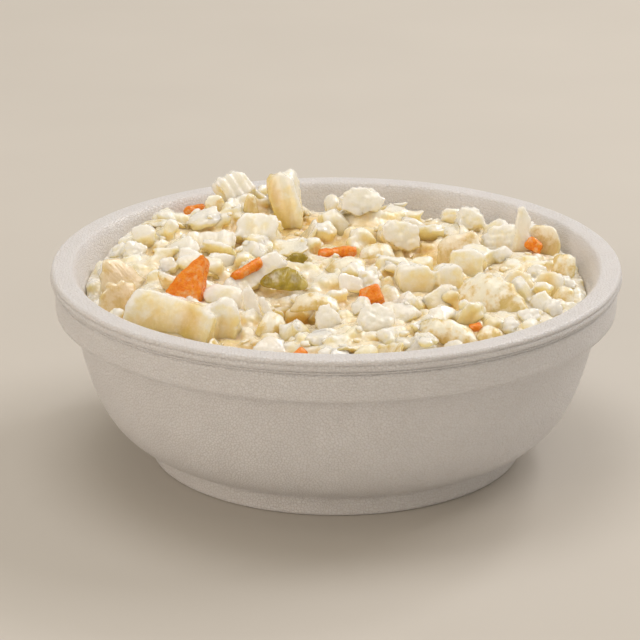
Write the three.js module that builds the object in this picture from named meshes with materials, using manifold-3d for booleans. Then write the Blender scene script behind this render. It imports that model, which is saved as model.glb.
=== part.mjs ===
// Coleslaw of chopped cabbage and carrot, heaped in a low foam bowl.
// Millimetres, +Z up, origin under the middle of the bowl's foot.

import * as THREE from "three";
import { mergeVertices } from "three/addons/utils/BufferGeometryUtils.js";
import Module from "manifold-3d";

const wasm = await Module();
wasm.setup();

// ---------------------------------------------------------------- driving dimensions

const RIM_RADIUS = 59;
const BOWL_HEIGHT = 40.66;
const RIM_WIDTH = 5.3;
const LIP_DEPTH = 2.6;
const BAND_BOTTOM = 31.6;
const BODY_TOP_RADIUS = 54.9;
const BELLY_RADIUS = 41.1;
const BELLY_HEIGHT = 5.2;
const FOOT_RADIUS = 38.95;
const FOOT_WIDTH = 3.8;
const FOOT_RECESS = 2.2;
const WALL_THICKNESS = 2.4;
const FLOOR_TOP = FOOT_RECESS + WALL_THICKNESS;
const SHOULDER_RADIUS = RIM_RADIUS - RIM_WIDTH - 1.6;
const SHOULDER_HEIGHT = BOWL_HEIGHT - 5.4;
const BOWL_SEGMENTS = 60;
const WALL_STEPS = 6;

const DISH_GAP = 0.35;
const CORE_SEGMENTS = 40;
const CORE_SIDE_ROWS = 4;
const CORE_TOP_ROWS = 9;
const CORE_LEVEL = 34.2;

const CHOPPED_COUNT = 128;
const CHOPPED_FIELD_RADIUS = 50;
const CRUMB_COUNT = 58;
const CRUMB_FIELD_RADIUS = 48;
const CLEAR_BY_OWN_WIDTH = 0.32;
const CLEAR_BY_SHOWN_HEIGHT = 0.25;
const AHEAD_OF_SHOWN = 0.2;
const END_OF_SHOWN = 0.33;
const SPIRAL_DISORDER = 1.6;
const MOST_MOVES = 14;
const MOVE_INWARDS = 0.975;
const SEED = 8;

// The free space left over the low side of the heap, against the far wall.
const FREE_CORNER = new THREE.Box3(
  new THREE.Vector3(13.6, 43.2, 34.6),
  new THREE.Vector3(20.4, 49, BOWL_HEIGHT),
);

const WELD = 1e-4;
const DEGREE = Math.PI / 180;
const GOLDEN_ANGLE = 2.399963;

// ---------------------------------------------------------------- the bowl's walls

function bezierPoints(p0, p1, p2, p3, steps) {
  const curve = new THREE.CubicBezierCurve(
    new THREE.Vector2(...p0),
    new THREE.Vector2(...p1),
    new THREE.Vector2(...p2),
    new THREE.Vector2(...p3),
  );
  return curve.getPoints(steps);
}

// The inner wall from the rim's fillet down to the floor: a shallow shoulder under the
// rim, then one belly curve.
function innerWallPoints() {
  const rimInner = RIM_RADIUS - RIM_WIDTH;
  const top = [
    new THREE.Vector2(rimInner, BOWL_HEIGHT - 0.35),
    new THREE.Vector2(rimInner - 0.5, BOWL_HEIGHT - 1.3),
    new THREE.Vector2(rimInner - 0.8, SHOULDER_HEIGHT + 0.6),
  ];
  const belly = bezierPoints(
    [SHOULDER_RADIUS, SHOULDER_HEIGHT],
    [BODY_TOP_RADIUS - 5, 22],
    [BODY_TOP_RADIUS - 7, 9.5],
    [FOOT_RADIUS - FOOT_WIDTH, FLOOR_TOP],
    WALL_STEPS,
  );
  return [...top, ...belly];
}

// The outside from the foot up to the lip: foot ring, belly, step under the band, the
// band itself, a groove, and the rolled lip.
function outerWallPoints() {
  const lipMiddle = BOWL_HEIGHT - LIP_DEPTH / 2;
  const foot = [
    [FOOT_RADIUS - FOOT_WIDTH - 0.6, FOOT_RECESS],
    [FOOT_RADIUS - FOOT_WIDTH, 0],
    [FOOT_RADIUS - 0.5, 0],
    [FOOT_RADIUS, 0.6],
    [FOOT_RADIUS + 0.1, 4],
  ].map(([r, z]) => new THREE.Vector2(r, z));
  const belly = bezierPoints(
    [BELLY_RADIUS, BELLY_HEIGHT],
    [50.6, 8.1],
    [52.25, 21.5],
    [BODY_TOP_RADIUS, BAND_BOTTOM],
    WALL_STEPS,
  );
  const bandAndLip = [
    [RIM_RADIUS - 1.3, BAND_BOTTOM],
    [RIM_RADIUS - 0.95, BAND_BOTTOM + 0.4],
    [RIM_RADIUS - 0.7, BOWL_HEIGHT - LIP_DEPTH],
    [RIM_RADIUS - 0.15, lipMiddle - 0.5],
    [RIM_RADIUS, lipMiddle + 0.2],
    [RIM_RADIUS - 0.35, BOWL_HEIGHT - 0.35],
    [RIM_RADIUS - 1.0, BOWL_HEIGHT],
    [RIM_RADIUS - RIM_WIDTH + 1.0, BOWL_HEIGHT],
  ].map(([r, z]) => new THREE.Vector2(r, z));
  return [...foot, ...belly, ...bandAndLip];
}

const INNER_WALL = innerWallPoints();

// The radius of the bowl's inside at a height, straight up above the rim.
function insideRadius(z) {
  if (z >= INNER_WALL[0].y) return INNER_WALL[0].x;
  for (let i = 1; i < INNER_WALL.length; i += 1) {
    const upper = INNER_WALL[i - 1];
    const lower = INNER_WALL[i];
    if (z >= lower.y) {
      const share = (z - lower.y) / (upper.y - lower.y);
      return lower.x + share * (upper.x - lower.x);
    }
  }
  return 0;
}

// How far out the contents may reach at a height. The shoulder is the narrowest ring over
// the belly, so nothing reaches past it above.
function roomRadius(z) {
  return Math.min(insideRadius(z), SHOULDER_RADIUS) - DISH_GAP;
}

function foamBowlGeometry() {
  const profile = [
    new THREE.Vector2(0, FOOT_RECESS),
    ...outerWallPoints(),
    ...INNER_WALL,
    new THREE.Vector2(0, FLOOR_TOP),
  ];
  return new THREE.LatheGeometry(profile, BOWL_SEGMENTS).rotateX(Math.PI / 2);
}

// ---------------------------------------------------------------- the heap's core

// Mounds and hollows of the heap: [x, y, height, spread].
const MOUNDS = [
  [-21, 38, 7.2, 7.5],
  [6, 37, 6.0, 6.5],
  [26, 33, 2.6, 6.5],
  [-40, 4, 3.0, 8],
  [-37, 25, 5.0, 8],
  [-28, -18, 4.0, 8],
  [-14, 8, 3.2, 9],
  [3, 6, 2.4, 8],
  [17, -4, 2.6, 7],
  [37, 10, 3.4, 8],
  [34, -20, 3.8, 8],
  [5, -31, 3.6, 8],
  [-8.5, -18, -3.6, 3.2],
  [22, -16, -3.2, 4],
  [18, 10, -1.6, 4.5],
  [45, 22, 2.4, 6],
  [48, -12, 1.6, 7],
  [-38, -34, -2.4, 5],
  [-22, -40, -2.4, 5.5],
  [-37.5, 34, -2.6, 3],
  [17, 47, -2.4, 5],
];

function coreHeight(x, y) {
  let z = CORE_LEVEL;
  for (const [mx, my, height, spread] of MOUNDS) {
    const squared = (x - mx) ** 2 + (y - my) ** 2;
    z += height * Math.exp(-squared / (2 * spread * spread));
  }
  return z;
}

// The core fills the bowl: its floor and sides follow the inner wall, and its top is the
// mound surface under the chopped pieces.
function coreGeometry() {
  const bottomRadius = FOOT_RADIUS - FOOT_WIDTH - 1.5;
  const bottom = FLOOR_TOP + DISH_GAP;
  const rows = 1 + CORE_SIDE_ROWS + CORE_TOP_ROWS;
  const template = [];
  for (let row = 0; row < rows; row += 1) {
    template.push(new THREE.Vector2(row === 0 || row === rows - 1 ? 0 : 1, row));
  }
  const lathe = new THREE.LatheGeometry(template, CORE_SEGMENTS).rotateX(Math.PI / 2);
  const place = lathe.attributes.position;
  for (let i = 0; i < place.count; i += 1) {
    const row = i % rows;
    const turn = (Math.floor(i / rows) * 2 * Math.PI) / CORE_SEGMENTS;
    let radius = 0;
    let z = bottom;
    if (row > 0) {
      const edge = coreEdge(turn);
      const side = (row - 1) / (CORE_SIDE_ROWS - 1);
      if (side <= 1) {
        z = bottom + side * (edge.z - bottom);
        radius = row === 1 ? bottomRadius : roomRadius(z);
      } else {
        radius = (edge.radius * (rows - 1 - row)) / CORE_TOP_ROWS;
        z = coreHeight(radius * Math.cos(turn), radius * Math.sin(turn));
      }
    }
    place.setXYZ(i, radius * Math.cos(turn), radius * Math.sin(turn), z);
  }
  return lathe;
}

// Where the mound surface meets the inner wall at one angle round the bowl.
function coreEdge(turn) {
  let radius = SHOULDER_RADIUS;
  let z = CORE_LEVEL;
  for (let pass = 0; pass < 3; pass += 1) {
    z = coreHeight(radius * Math.cos(turn), radius * Math.sin(turn));
    radius = roomRadius(z);
  }
  return { radius, z };
}

// ---------------------------------------------------------------- chopped pieces

// Each piece is a slab: across, up its slope and thick. It leans by `lean` degrees from
// lying flat, towards the compass direction `toward`, and is spun in its own plane.
// `taper` narrows its upper end, `curl` bends it across and `buckle` up its slope.
const FORMS = {
  dice: { cutsAcross: 1, cutsUp: 1, curl: 0, buckle: 0 },
  slab: { cutsAcross: 2, cutsUp: 1, curl: 0.07, buckle: 0 },
  leaf: { cutsAcross: 3, cutsUp: 2, curl: 0.14, buckle: 0.1 },
  shred: { cutsAcross: 4, cutsUp: 1, curl: 0.16, buckle: 0 },
  carrot: { cutsAcross: 1, cutsUp: 1, curl: 0, buckle: 0 },
};

// The mix of loose pieces: `upTo` is the running share of each form, `across` its least and
// greatest width, `ratio` its length up the slope for each unit of width.
const CHOPPED_MIX = [
  { form: "dice", upTo: 0.36, across: [5, 8], ratio: [0.62, 0.9], thick: 4.6 },
  { form: "slab", upTo: 0.62, across: [6, 9], ratio: [0.62, 0.9], thick: 2.4 },
  { form: "leaf", upTo: 0.86, across: [7, 10.4], ratio: [0.62, 0.9], thick: 1.2 },
  { form: "shred", upTo: 1, across: [9, 13], ratio: [0.18, 0.22], thick: 1.3 },
];

// The large pieces that give the heap its look, each chosen by hand:
// [form, x, y, z, across, up, thick, lean, toward, spin, taper].
const SHOWN_PIECES = [
  // front left: two standing slabs of cabbage rib and the big carrot wedge behind them
  ["slab", -34.9, -27.6, 34.7, 20, 14, 3, 76, -116, -11, 0],
  ["slab", -22.8, -28.0, 35.6, 7.4, 12, 3.5, 80, -88, 0, 0],
  ["carrot", -28.9, -13.4, 41.0, 8.8, 11, 3.4, 46, -108, -14, 0.85],
  ["slab", -16.8, -3.6, 38.4, 15, 5, 3, 40, -75, 28, 0],
  ["carrot", -18.4, -4.4, 40.0, 7.5, 2, 1.8, 40, -80, 28, 0],
  // left wall: a glassy leaf and small chunks
  ["leaf", -45.6, -4.5, 36.4, 10.5, 12, 1.3, 52, -50, 20, 0.2],
  ["dice", -42.6, 12.6, 38.0, 5.4, 4.8, 4, 40, -70, 10, 0],
  ["slab", -27.2, 20.4, 37.8, 12.5, 5.5, 2.4, 28, -90, 2, 0.2],
  // back left: the peaks that stand above the rim
  ["dice", -22.6, 41.4, 43.2, 7.2, 6.4, 4.4, 55, -70, 22, 0],
  ["dice", -11.0, 36.6, 41.6, 6.4, 12.5, 5.6, 74, -96, 13, 0],
  ["slab", -18.5, 33.6, 42.0, 4, 5, 2, 70, -90, 0, 0.5],
  ["slab", -26.4, 35.6, 41.0, 5, 5, 1.8, 60, -80, 10, 0.2],
  ["dice", -17.0, 25.0, 38.8, 11, 6.5, 4.5, 45, -95, -5, 0.25],
  // middle: green leaf, thin carrot strips, dice with smooth cut faces
  ["leaf", -10.4, -6.4, 38.8, 11.5, 5, 1.1, 34, -95, -6, 0.35],
  ["leaf", -8.4, 6.8, 38.4, 3.6, 3.4, 1.1, 50, -90, 20, 0],
  ["carrot", 0.2, 12.8, 38.1, 8.4, 2, 1.6, 30, -90, 2, 0],
  ["carrot", 7.4, -13.8, 37.4, 5.2, 3.4, 2.6, 40, -105, 22, 0.2],
  ["leaf", 9.0, 12.4, 38.4, 8.4, 4.4, 1.3, 25, -80, -8, 0.2],
  ["leaf", 2.0, 4.5, 37.6, 9, 6, 1.4, 30, -100, 10, 0.1],
  ["dice", 16.0, -3.6, 37.6, 8.0, 6.8, 6.2, 74, -82, -4, 0],
  ["dice", 22.9, -3.2, 37.4, 6.4, 6.2, 5.4, 72, -70, -6, 0.05],
  ["dice", 28.4, 5.2, 38.0, 7.6, 6, 4.4, 64, -95, -8, 0.1],
  ["leaf", -4.0, -20.0, 38.6, 10.5, 5, 1.3, 25, -90, -5, 0.2],
  // front: lumps and leaves seen over the near rim
  ["dice", -1.8, -26.6, 36.6, 5.4, 6.4, 4, 60, -80, 5, 0.2],
  ["dice", 7.6, -29.0, 37.2, 8, 7, 6, 48, -70, 20, 0.2],
  ["leaf", 21.5, -34.4, 37.6, 14, 5.4, 1.6, 45, -100, -10, 0.25],
  ["leaf", 31.6, -18.4, 38.9, 16, 7.4, 1.8, 46, -112, -28, 0.2],
  // right: glassy dice, the arched leaf, the upright flake and the round flake
  ["leaf", 26.0, 14.6, 37.6, 11, 7.4, 1.5, 50, -100, 16, 0.25],
  ["dice", 35.6, 19.0, 38.2, 9.2, 6.8, 5, 50, -90, 0, 0.1],
  ["slab", 39.5, 17.0, 40.8, 3.4, 11, 1.7, 84, -85, -3, 0.55],
  ["leaf", 44.8, 18.4, 38.8, 7.6, 6.8, 1.3, 66, -100, -10, 0.1],
  ["carrot", 42.0, 14.6, 39.0, 4.2, 2.6, 1.8, 50, -100, -30, 0.2],
  ["dice", 37.4, -5.0, 37.0, 6.4, 5.8, 4, 52, -95, -6, 0.1],
  ["dice", 44.0, -5.0, 36.6, 6.6, 6.2, 4, 55, -105, 4, 0.1],
  ["leaf", 47.2, 5.0, 37.6, 6.4, 5.6, 1.4, 62, -130, 12, 0.3],
  ["dice", 41.4, -17.6, 37.0, 4.6, 4.4, 3.4, 48, -100, 30, 0.1],
  // far side: the mound against the wall and the far right peak
  ["dice", 5.4, 36.4, 41.5, 9.4, 6.4, 6, 58, -85, 4, 0.2],
  ["dice", 13.8, 22.8, 38.2, 8.2, 6.4, 5.4, 62, -85, -10, 0.15],
  ["dice", 28.8, 33.4, 38.4, 6.6, 5.8, 5, 55, -85, 10, 0.3],
  // carrot bits that lie low in the dressing, near the front and behind the peaks
  ["carrot", 27.4, -33.0, 38.0, 3.2, 1.8, 1.6, 30, -100, 20, 0.2],
  ["carrot", -8.0, -45.2, 35.9, 6.4, 1.8, 1.7, 30, -60, 24, 0.1],
  ["carrot", -31.0, 39.0, 39.0, 5.6, 2.2, 1.8, 46, 120, 10, 0.2],
];

// A repeatable stream of numbers between two limits.
function makeRandom(seed) {
  const modulus = 2147483647;
  let state = seed;
  return (low, high) => {
    state = (state * 16807) % modulus;
    return low + ((high - low) * state) / modulus;
  };
}

// A box of two units a side whose upper and lower faces are split into triangles alike, so
// that a thin bent leaf keeps its thickness.
function sheetGrid(across, up) {
  const box = new THREE.BoxGeometry(2, 2, 2, across, up, 1);
  const underside = box.groups[5];
  for (let k = underside.start; k < underside.start + underside.count; k += 6) {
    const [a, b, d, , c] = box.index.array.slice(k, k + 6);
    box.index.array.set([a, b, c, a, c, d], k);
  }
  return box;
}

// The piece's own axes: right along the slope, up the slope, and out of its face.
function pieceMatrix(piece) {
  const lean = piece.lean * DEGREE;
  const toward = piece.toward * DEGREE;
  const along = new THREE.Vector3(-Math.sin(toward), Math.cos(toward), 0);
  const out = new THREE.Vector3(
    Math.sin(lean) * Math.cos(toward),
    Math.sin(lean) * Math.sin(toward),
    Math.cos(lean),
  );
  const slope = out.clone().cross(along);
  return new THREE.Matrix4()
    .makeBasis(along, slope, out)
    .multiply(new THREE.Matrix4().makeRotationZ(piece.spin * DEGREE))
    .setPosition(piece.x, piece.y, piece.z);
}

function pieceGeometry(piece) {
  const form = FORMS[piece.form];
  const grid = sheetGrid(form.cutsAcross, form.cutsUp);
  const place = grid.attributes.position;
  for (let i = 0; i < place.count; i += 1) {
    const u = place.getX(i);
    const v = place.getY(i);
    const face = place.getZ(i);
    const corner = piece.corners[(u > 0 ? 1 : 0) + (v > 0 ? 2 : 0)];
    const uneven = 1 + (corner - 1) * Math.abs(u * v);
    const narrow = 1 - (piece.taper * (v + 1)) / 2;
    const bend = form.curl * piece.across * (u * u - 0.4) + form.buckle * piece.up * v * v;
    place.setXYZ(
      i,
      (u * narrow * uneven * piece.across) / 2,
      (v * uneven * piece.up) / 2,
      (face * piece.thick) / 2 + piece.turned * bend,
    );
  }
  return grid.applyMatrix4(pieceMatrix(piece));
}

// A lump of fine crumbs held together by dressing.
function crumbGeometry(crumb) {
  return new THREE.IcosahedronGeometry(1, 0)
    .scale(crumb.across / 2, crumb.up / 2, crumb.thick / 2)
    .applyMatrix4(pieceMatrix(crumb));
}

function fitsDish(geometry) {
  const place = geometry.attributes.position;
  const corner = new THREE.Vector3();
  for (let i = 0; i < place.count; i += 1) {
    corner.fromBufferAttribute(place, i);
    if (Math.hypot(corner.x, corner.y) > roomRadius(corner.z)) return false;
    if (FREE_CORNER.containsPoint(corner)) return false;
  }
  return true;
}

// A piece that would cross the dish is moved inwards, and left out if it never fits.
function fittedGeometry(piece, shape) {
  for (let move = 0; move < MOST_MOVES; move += 1) {
    const geometry = shape(piece);
    if (fitsDish(geometry)) return geometry;
    piece.x *= MOVE_INWARDS;
    piece.y *= MOVE_INWARDS;
  }
  return null;
}

// ---------------------------------------------------------------- the heap

function shownPieces(random) {
  return SHOWN_PIECES.map(
    ([form, x, y, z, across, up, thick, lean, toward, spin, taper]) => {
      const corners = [0, 1, 2, 3].map(() => random(0.9, 1.06));
      const turned = form === "leaf" ? -1 : 1;
      return { form, x, y, z, across, up, thick, lean, toward, spin, taper, corners, turned };
    },
  );
}

// Even places over a round field: a sunflower spiral with a little disorder.
function spiralPlace(index, count, fieldRadius, random) {
  const radius = fieldRadius * Math.sqrt((index + 0.5) / count);
  const turn = index * GOLDEN_ANGLE;
  const x = radius * Math.cos(turn) + random(-SPIRAL_DISORDER, SPIRAL_DISORDER);
  const y = radius * Math.sin(turn) + random(-SPIRAL_DISORDER, SPIRAL_DISORDER);
  return { x, y };
}

function choppedPiece(index, random) {
  const { x, y } = spiralPlace(index, CHOPPED_COUNT, CHOPPED_FIELD_RADIUS, random);
  const draw = random(0, 1);
  const kind = CHOPPED_MIX.find(({ upTo }) => draw <= upTo);
  const across = random(...kind.across);
  return {
    form: kind.form,
    x,
    y,
    across,
    up: across * random(...kind.ratio),
    thick: kind.thick * random(0.8, 1.2),
    lean: random(14, 64),
    toward: random(0, 360),
    spin: random(0, 90),
    taper: random(0, 0.35),
    corners: [0, 1, 2, 3].map(() => random(0.78, 1.12)),
    turned: random(0, 1) > 0.5 ? 1 : -1,
    z: coreHeight(x, y) + random(0.5, 1.7),
  };
}

function crumb(index, random) {
  const { x, y } = spiralPlace(index, CRUMB_COUNT, CRUMB_FIELD_RADIUS, random);
  const across = random(3.2, 5.8);
  return {
    x,
    y,
    z: coreHeight(x, y) + random(0.9, 2.1),
    across,
    up: across * random(0.7, 0.95),
    thick: across * random(0.6, 0.85),
    lean: random(0, 40),
    toward: random(0, 360),
    spin: random(0, 90),
  };
}

// A loose piece keeps off the chosen ones: off the middle and both ends of the ground just
// in front of each.
function clearOfShown(piece, shown) {
  return shown.every((other) => {
    const toward = other.toward * DEGREE;
    const ahead = AHEAD_OF_SHOWN * other.up;
    const apart = CLEAR_BY_OWN_WIDTH * piece.across + CLEAR_BY_SHOWN_HEIGHT * other.up;
    return [-END_OF_SHOWN, 0, END_OF_SHOWN].every((share) => {
      const aside = share * other.across;
      const x = other.x + ahead * Math.cos(toward) - aside * Math.sin(toward);
      const y = other.y + ahead * Math.sin(toward) + aside * Math.cos(toward);
      return Math.hypot(piece.x - x, piece.y - y) > apart;
    });
  });
}

function solidOf(geometry) {
  const bare = geometry.clone();
  bare.deleteAttribute("normal");
  bare.deleteAttribute("uv");
  const merged = mergeVertices(bare, WELD);
  return new wasm.Manifold(
    new wasm.Mesh({
      numProp: 3,
      vertProperties: new Float32Array(merged.attributes.position.array),
      triVerts: new Uint32Array(merged.index.array),
    }),
  );
}

function geometryOf(solid) {
  const mesh = solid.getMesh();
  const geometry = new THREE.BufferGeometry();
  geometry.setAttribute("position", new THREE.BufferAttribute(mesh.vertProperties, 3));
  geometry.setIndex(new THREE.BufferAttribute(mesh.triVerts, 1));
  geometry.computeVertexNormals();
  return geometry;
}

// The outer shell of the largest body: loose scraps fall away and sealed hollows fill.
function largestBody(solid) {
  return solid
    .decompose()
    .reduce((largest, body) => (body.volume() > largest.volume() ? body : largest));
}

function heapGeometry() {
  const random = makeRandom(SEED);
  const shown = shownPieces(random);
  const chopped = Array.from({ length: CHOPPED_COUNT }, (_, i) => choppedPiece(i, random));
  const crumbs = Array.from({ length: CRUMB_COUNT }, (_, i) => crumb(i, random));
  const loose = (pieces) => pieces.filter((piece) => clearOfShown(piece, shown));
  const geometries = [
    ...[...shown, ...loose(chopped)].map((piece) => fittedGeometry(piece, pieceGeometry)),
    ...loose(crumbs).map((piece) => fittedGeometry(piece, crumbGeometry)),
  ];
  let heap = solidOf(coreGeometry());
  for (const geometry of geometries) {
    if (geometry) heap = heap.add(solidOf(geometry));
  }
  return geometryOf(largestBody(heap));
}

// ---------------------------------------------------------------- the assembled part

const foam = new THREE.MeshStandardMaterial({
  name: "white_foam",
  color: 0xf1eeeb,
  roughness: 0.55,
  metalness: 0,
});

const dressedCabbage = new THREE.MeshStandardMaterial({
  name: "dressed_cabbage",
  color: 0xf0e6c8,
  roughness: 0.3,
  metalness: 0,
});

function namedMesh(name, geometry, material) {
  const mesh = new THREE.Mesh(geometry, material);
  mesh.name = name;
  return mesh;
}

const bowlOfColeslaw = new THREE.Group();
bowlOfColeslaw.add(namedMesh("foam_bowl", foamBowlGeometry(), foam));
bowlOfColeslaw.add(namedMesh("coleslaw", heapGeometry(), dressedCabbage));

export default bowlOfColeslaw;
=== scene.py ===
"""Coleslaw in a low foam bowl: the finish of the bowl and the dressed, chopped slaw.

Lengths in the making are in millimetres, and every finished mesh is brought to metres.
"""

import math

import bmesh
import bpy
import numpy as np
from mathutils import Matrix, Vector, noise
from mathutils.bvhtree import BVHTree


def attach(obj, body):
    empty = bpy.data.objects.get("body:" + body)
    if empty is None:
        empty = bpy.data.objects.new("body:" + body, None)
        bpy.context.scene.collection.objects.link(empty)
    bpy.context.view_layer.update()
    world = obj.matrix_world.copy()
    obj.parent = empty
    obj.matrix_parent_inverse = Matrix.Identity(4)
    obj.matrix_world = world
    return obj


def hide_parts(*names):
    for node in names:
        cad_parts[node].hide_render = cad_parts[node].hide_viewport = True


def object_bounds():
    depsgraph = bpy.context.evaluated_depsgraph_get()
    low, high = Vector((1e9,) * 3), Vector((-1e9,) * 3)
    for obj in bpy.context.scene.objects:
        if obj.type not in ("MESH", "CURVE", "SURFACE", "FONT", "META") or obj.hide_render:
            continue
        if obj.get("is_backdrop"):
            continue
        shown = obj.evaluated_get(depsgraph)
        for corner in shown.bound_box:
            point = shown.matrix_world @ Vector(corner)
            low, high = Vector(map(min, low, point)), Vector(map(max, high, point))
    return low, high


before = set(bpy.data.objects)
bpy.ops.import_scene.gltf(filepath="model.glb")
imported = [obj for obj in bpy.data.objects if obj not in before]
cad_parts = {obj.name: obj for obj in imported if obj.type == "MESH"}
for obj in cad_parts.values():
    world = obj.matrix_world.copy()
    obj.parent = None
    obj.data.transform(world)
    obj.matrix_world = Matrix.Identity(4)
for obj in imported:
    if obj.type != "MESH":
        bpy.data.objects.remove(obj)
cad_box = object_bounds()

MM = 0.001

# ------------------------------------------------------------------ the bowl's sizes

RIM_RADIUS = 59.0
BOWL_HEIGHT = 40.66
RIM_WIDTH = 5.3
LIP_DEPTH = 2.6
BAND_BOTTOM = 31.6
BODY_TOP_RADIUS = 54.9
BELLY_RADIUS = 41.1
BELLY_HEIGHT = 5.2
FOOT_RADIUS = 38.95
FOOT_WIDTH = 3.8
FOOT_RECESS = 2.2
FLOOR_TOP = FOOT_RECESS + 2.4
RIM_INNER = RIM_RADIUS - RIM_WIDTH
FOOT_INNER = FOOT_RADIUS - FOOT_WIDTH
LIP_LOW = BOWL_HEIGHT - LIP_DEPTH
SHOULDER_RADIUS = RIM_INNER - 1.6
SHOULDER_HEIGHT = BOWL_HEIGHT - 5.4
WALL_STEPS = 14
PLAIN_WALL_STEPS = 6
LIP_TICKS = 330
LIP_TICK_DEPTH = 0.15
# The band's top and the lip: how far inside the rim and above the lip's low edge each point is.
LIP_POINTS = (
    *((0.8, -1.5), (0.78, -0.72), (1.14, -0.6), (0.74, -0.44), (0.7, -0.12), (1.15, 0)),
    *((0.45, 0.16), (0.12, 0.35), (0.02, 0.65), (0, 0.95), (0.1, 1.25), (0.42, 1.42), (0.2, 1.62)),
)

# ------------------------------------------------------------------ the heap's sizes

DISH_GAP = 0.35
CORE_LEVEL = 34.2
CHOPPED_COUNT = 128
CHOPPED_FIELD_RADIUS = 50
CRUMB_COUNT = 58
CRUMB_FIELD_RADIUS = 48
CLEAR_BY_OWN_WIDTH = 0.32
CLEAR_BY_SHOWN_HEIGHT = 0.25
AHEAD_OF_SHOWN = 0.2
END_OF_SHOWN = 0.33
SPIRAL_DISORDER = 1.6
MOST_MOVES = 14
MOVE_INWARDS = 0.975
GOLDEN_ANGLE = 2.399963
SEED = 8
SMALL_SEED = SEED + 5
BITS_SEED = SEED + 11
# Without a seed, noise_vector follows the clock and each run has other lumps.
NOISE_SEED = 1795512472
# The space at the far rim that stays free: its lowest and its highest corner.
FREE_CORNER = (Vector((13.6, 43.2, 34.6)), Vector((20.4, 49, BOWL_HEIGHT)))

FORMS = {
    "dice": dict(cuts=(1, 1), curl=0, buckle=0),
    "slab": dict(cuts=(2, 1), curl=0.07, buckle=0),
    "leaf": dict(cuts=(3, 2), curl=0.14, buckle=0.1),
    "shred": dict(cuts=(4, 1), curl=0.16, buckle=0),
    "carrot": dict(cuts=(1, 1), curl=0, buckle=0),
}

THIN_FORMS = ("leaf", "shred")
CHOPPED_LEANS = (14, 64)
CRUMB_LEANS = (0, 40)

CHOPPED_MIX = (
    dict(form="dice", up_to=0.36, across=(5, 8), ratio=(0.62, 0.9), thick=4.6),
    dict(form="slab", up_to=0.62, across=(6, 9), ratio=(0.62, 0.9), thick=2.4),
    dict(form="leaf", up_to=0.86, across=(7, 10.4), ratio=(0.62, 0.9), thick=1.2),
    dict(form="shred", up_to=1, across=(9, 13), ratio=(0.18, 0.22), thick=1.3),
)

# Mounds and hollows of the heap: x, y, height, spread.
MOUNDS = (
    (-21, 38, 7.2, 7.5),
    (6, 37, 6.0, 6.5),
    (26, 33, 2.6, 6.5),
    (-40, 4, 3.0, 8),
    (-37, 25, 5.0, 8),
    (-28, -18, 4.0, 8),
    (-14, 8, 3.2, 9),
    (3, 6, 2.4, 8),
    (17, -4, 2.6, 7),
    (37, 10, 3.4, 8),
    (34, -20, 3.8, 8),
    (5, -31, 3.6, 8),
    (-8.5, -18, -3.6, 3.2),
    (22, -16, -3.2, 4),
    (18, 10, -1.6, 4.5),
    (45, 22, 2.4, 6),
    (48, -12, 1.6, 7),
    (-38, -34, -2.4, 5),
    (-22, -40, -2.4, 5.5),
    (-37.5, 34, -2.6, 3),
    (17, 47, -2.4, 5),
)

# The twelve corners of a crumb's plain form, on a ball of radius 1.
GOLDEN_RATIO = (1 + math.sqrt(5)) / 2
CRUMB_TIPS = [
    Vector(tip).normalized()
    for one in (-1, 1)
    for long in (-GOLDEN_RATIO, GOLDEN_RATIO)
    for tip in ((one, long, 0), (0, one, long), (long, 0, one))
]

PIECE_VALUES = (
    *("finish", "form", "x", "y", "z", "across", "up", "thick"),
    *("lean", "toward", "spin", "taper"),
)

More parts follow.
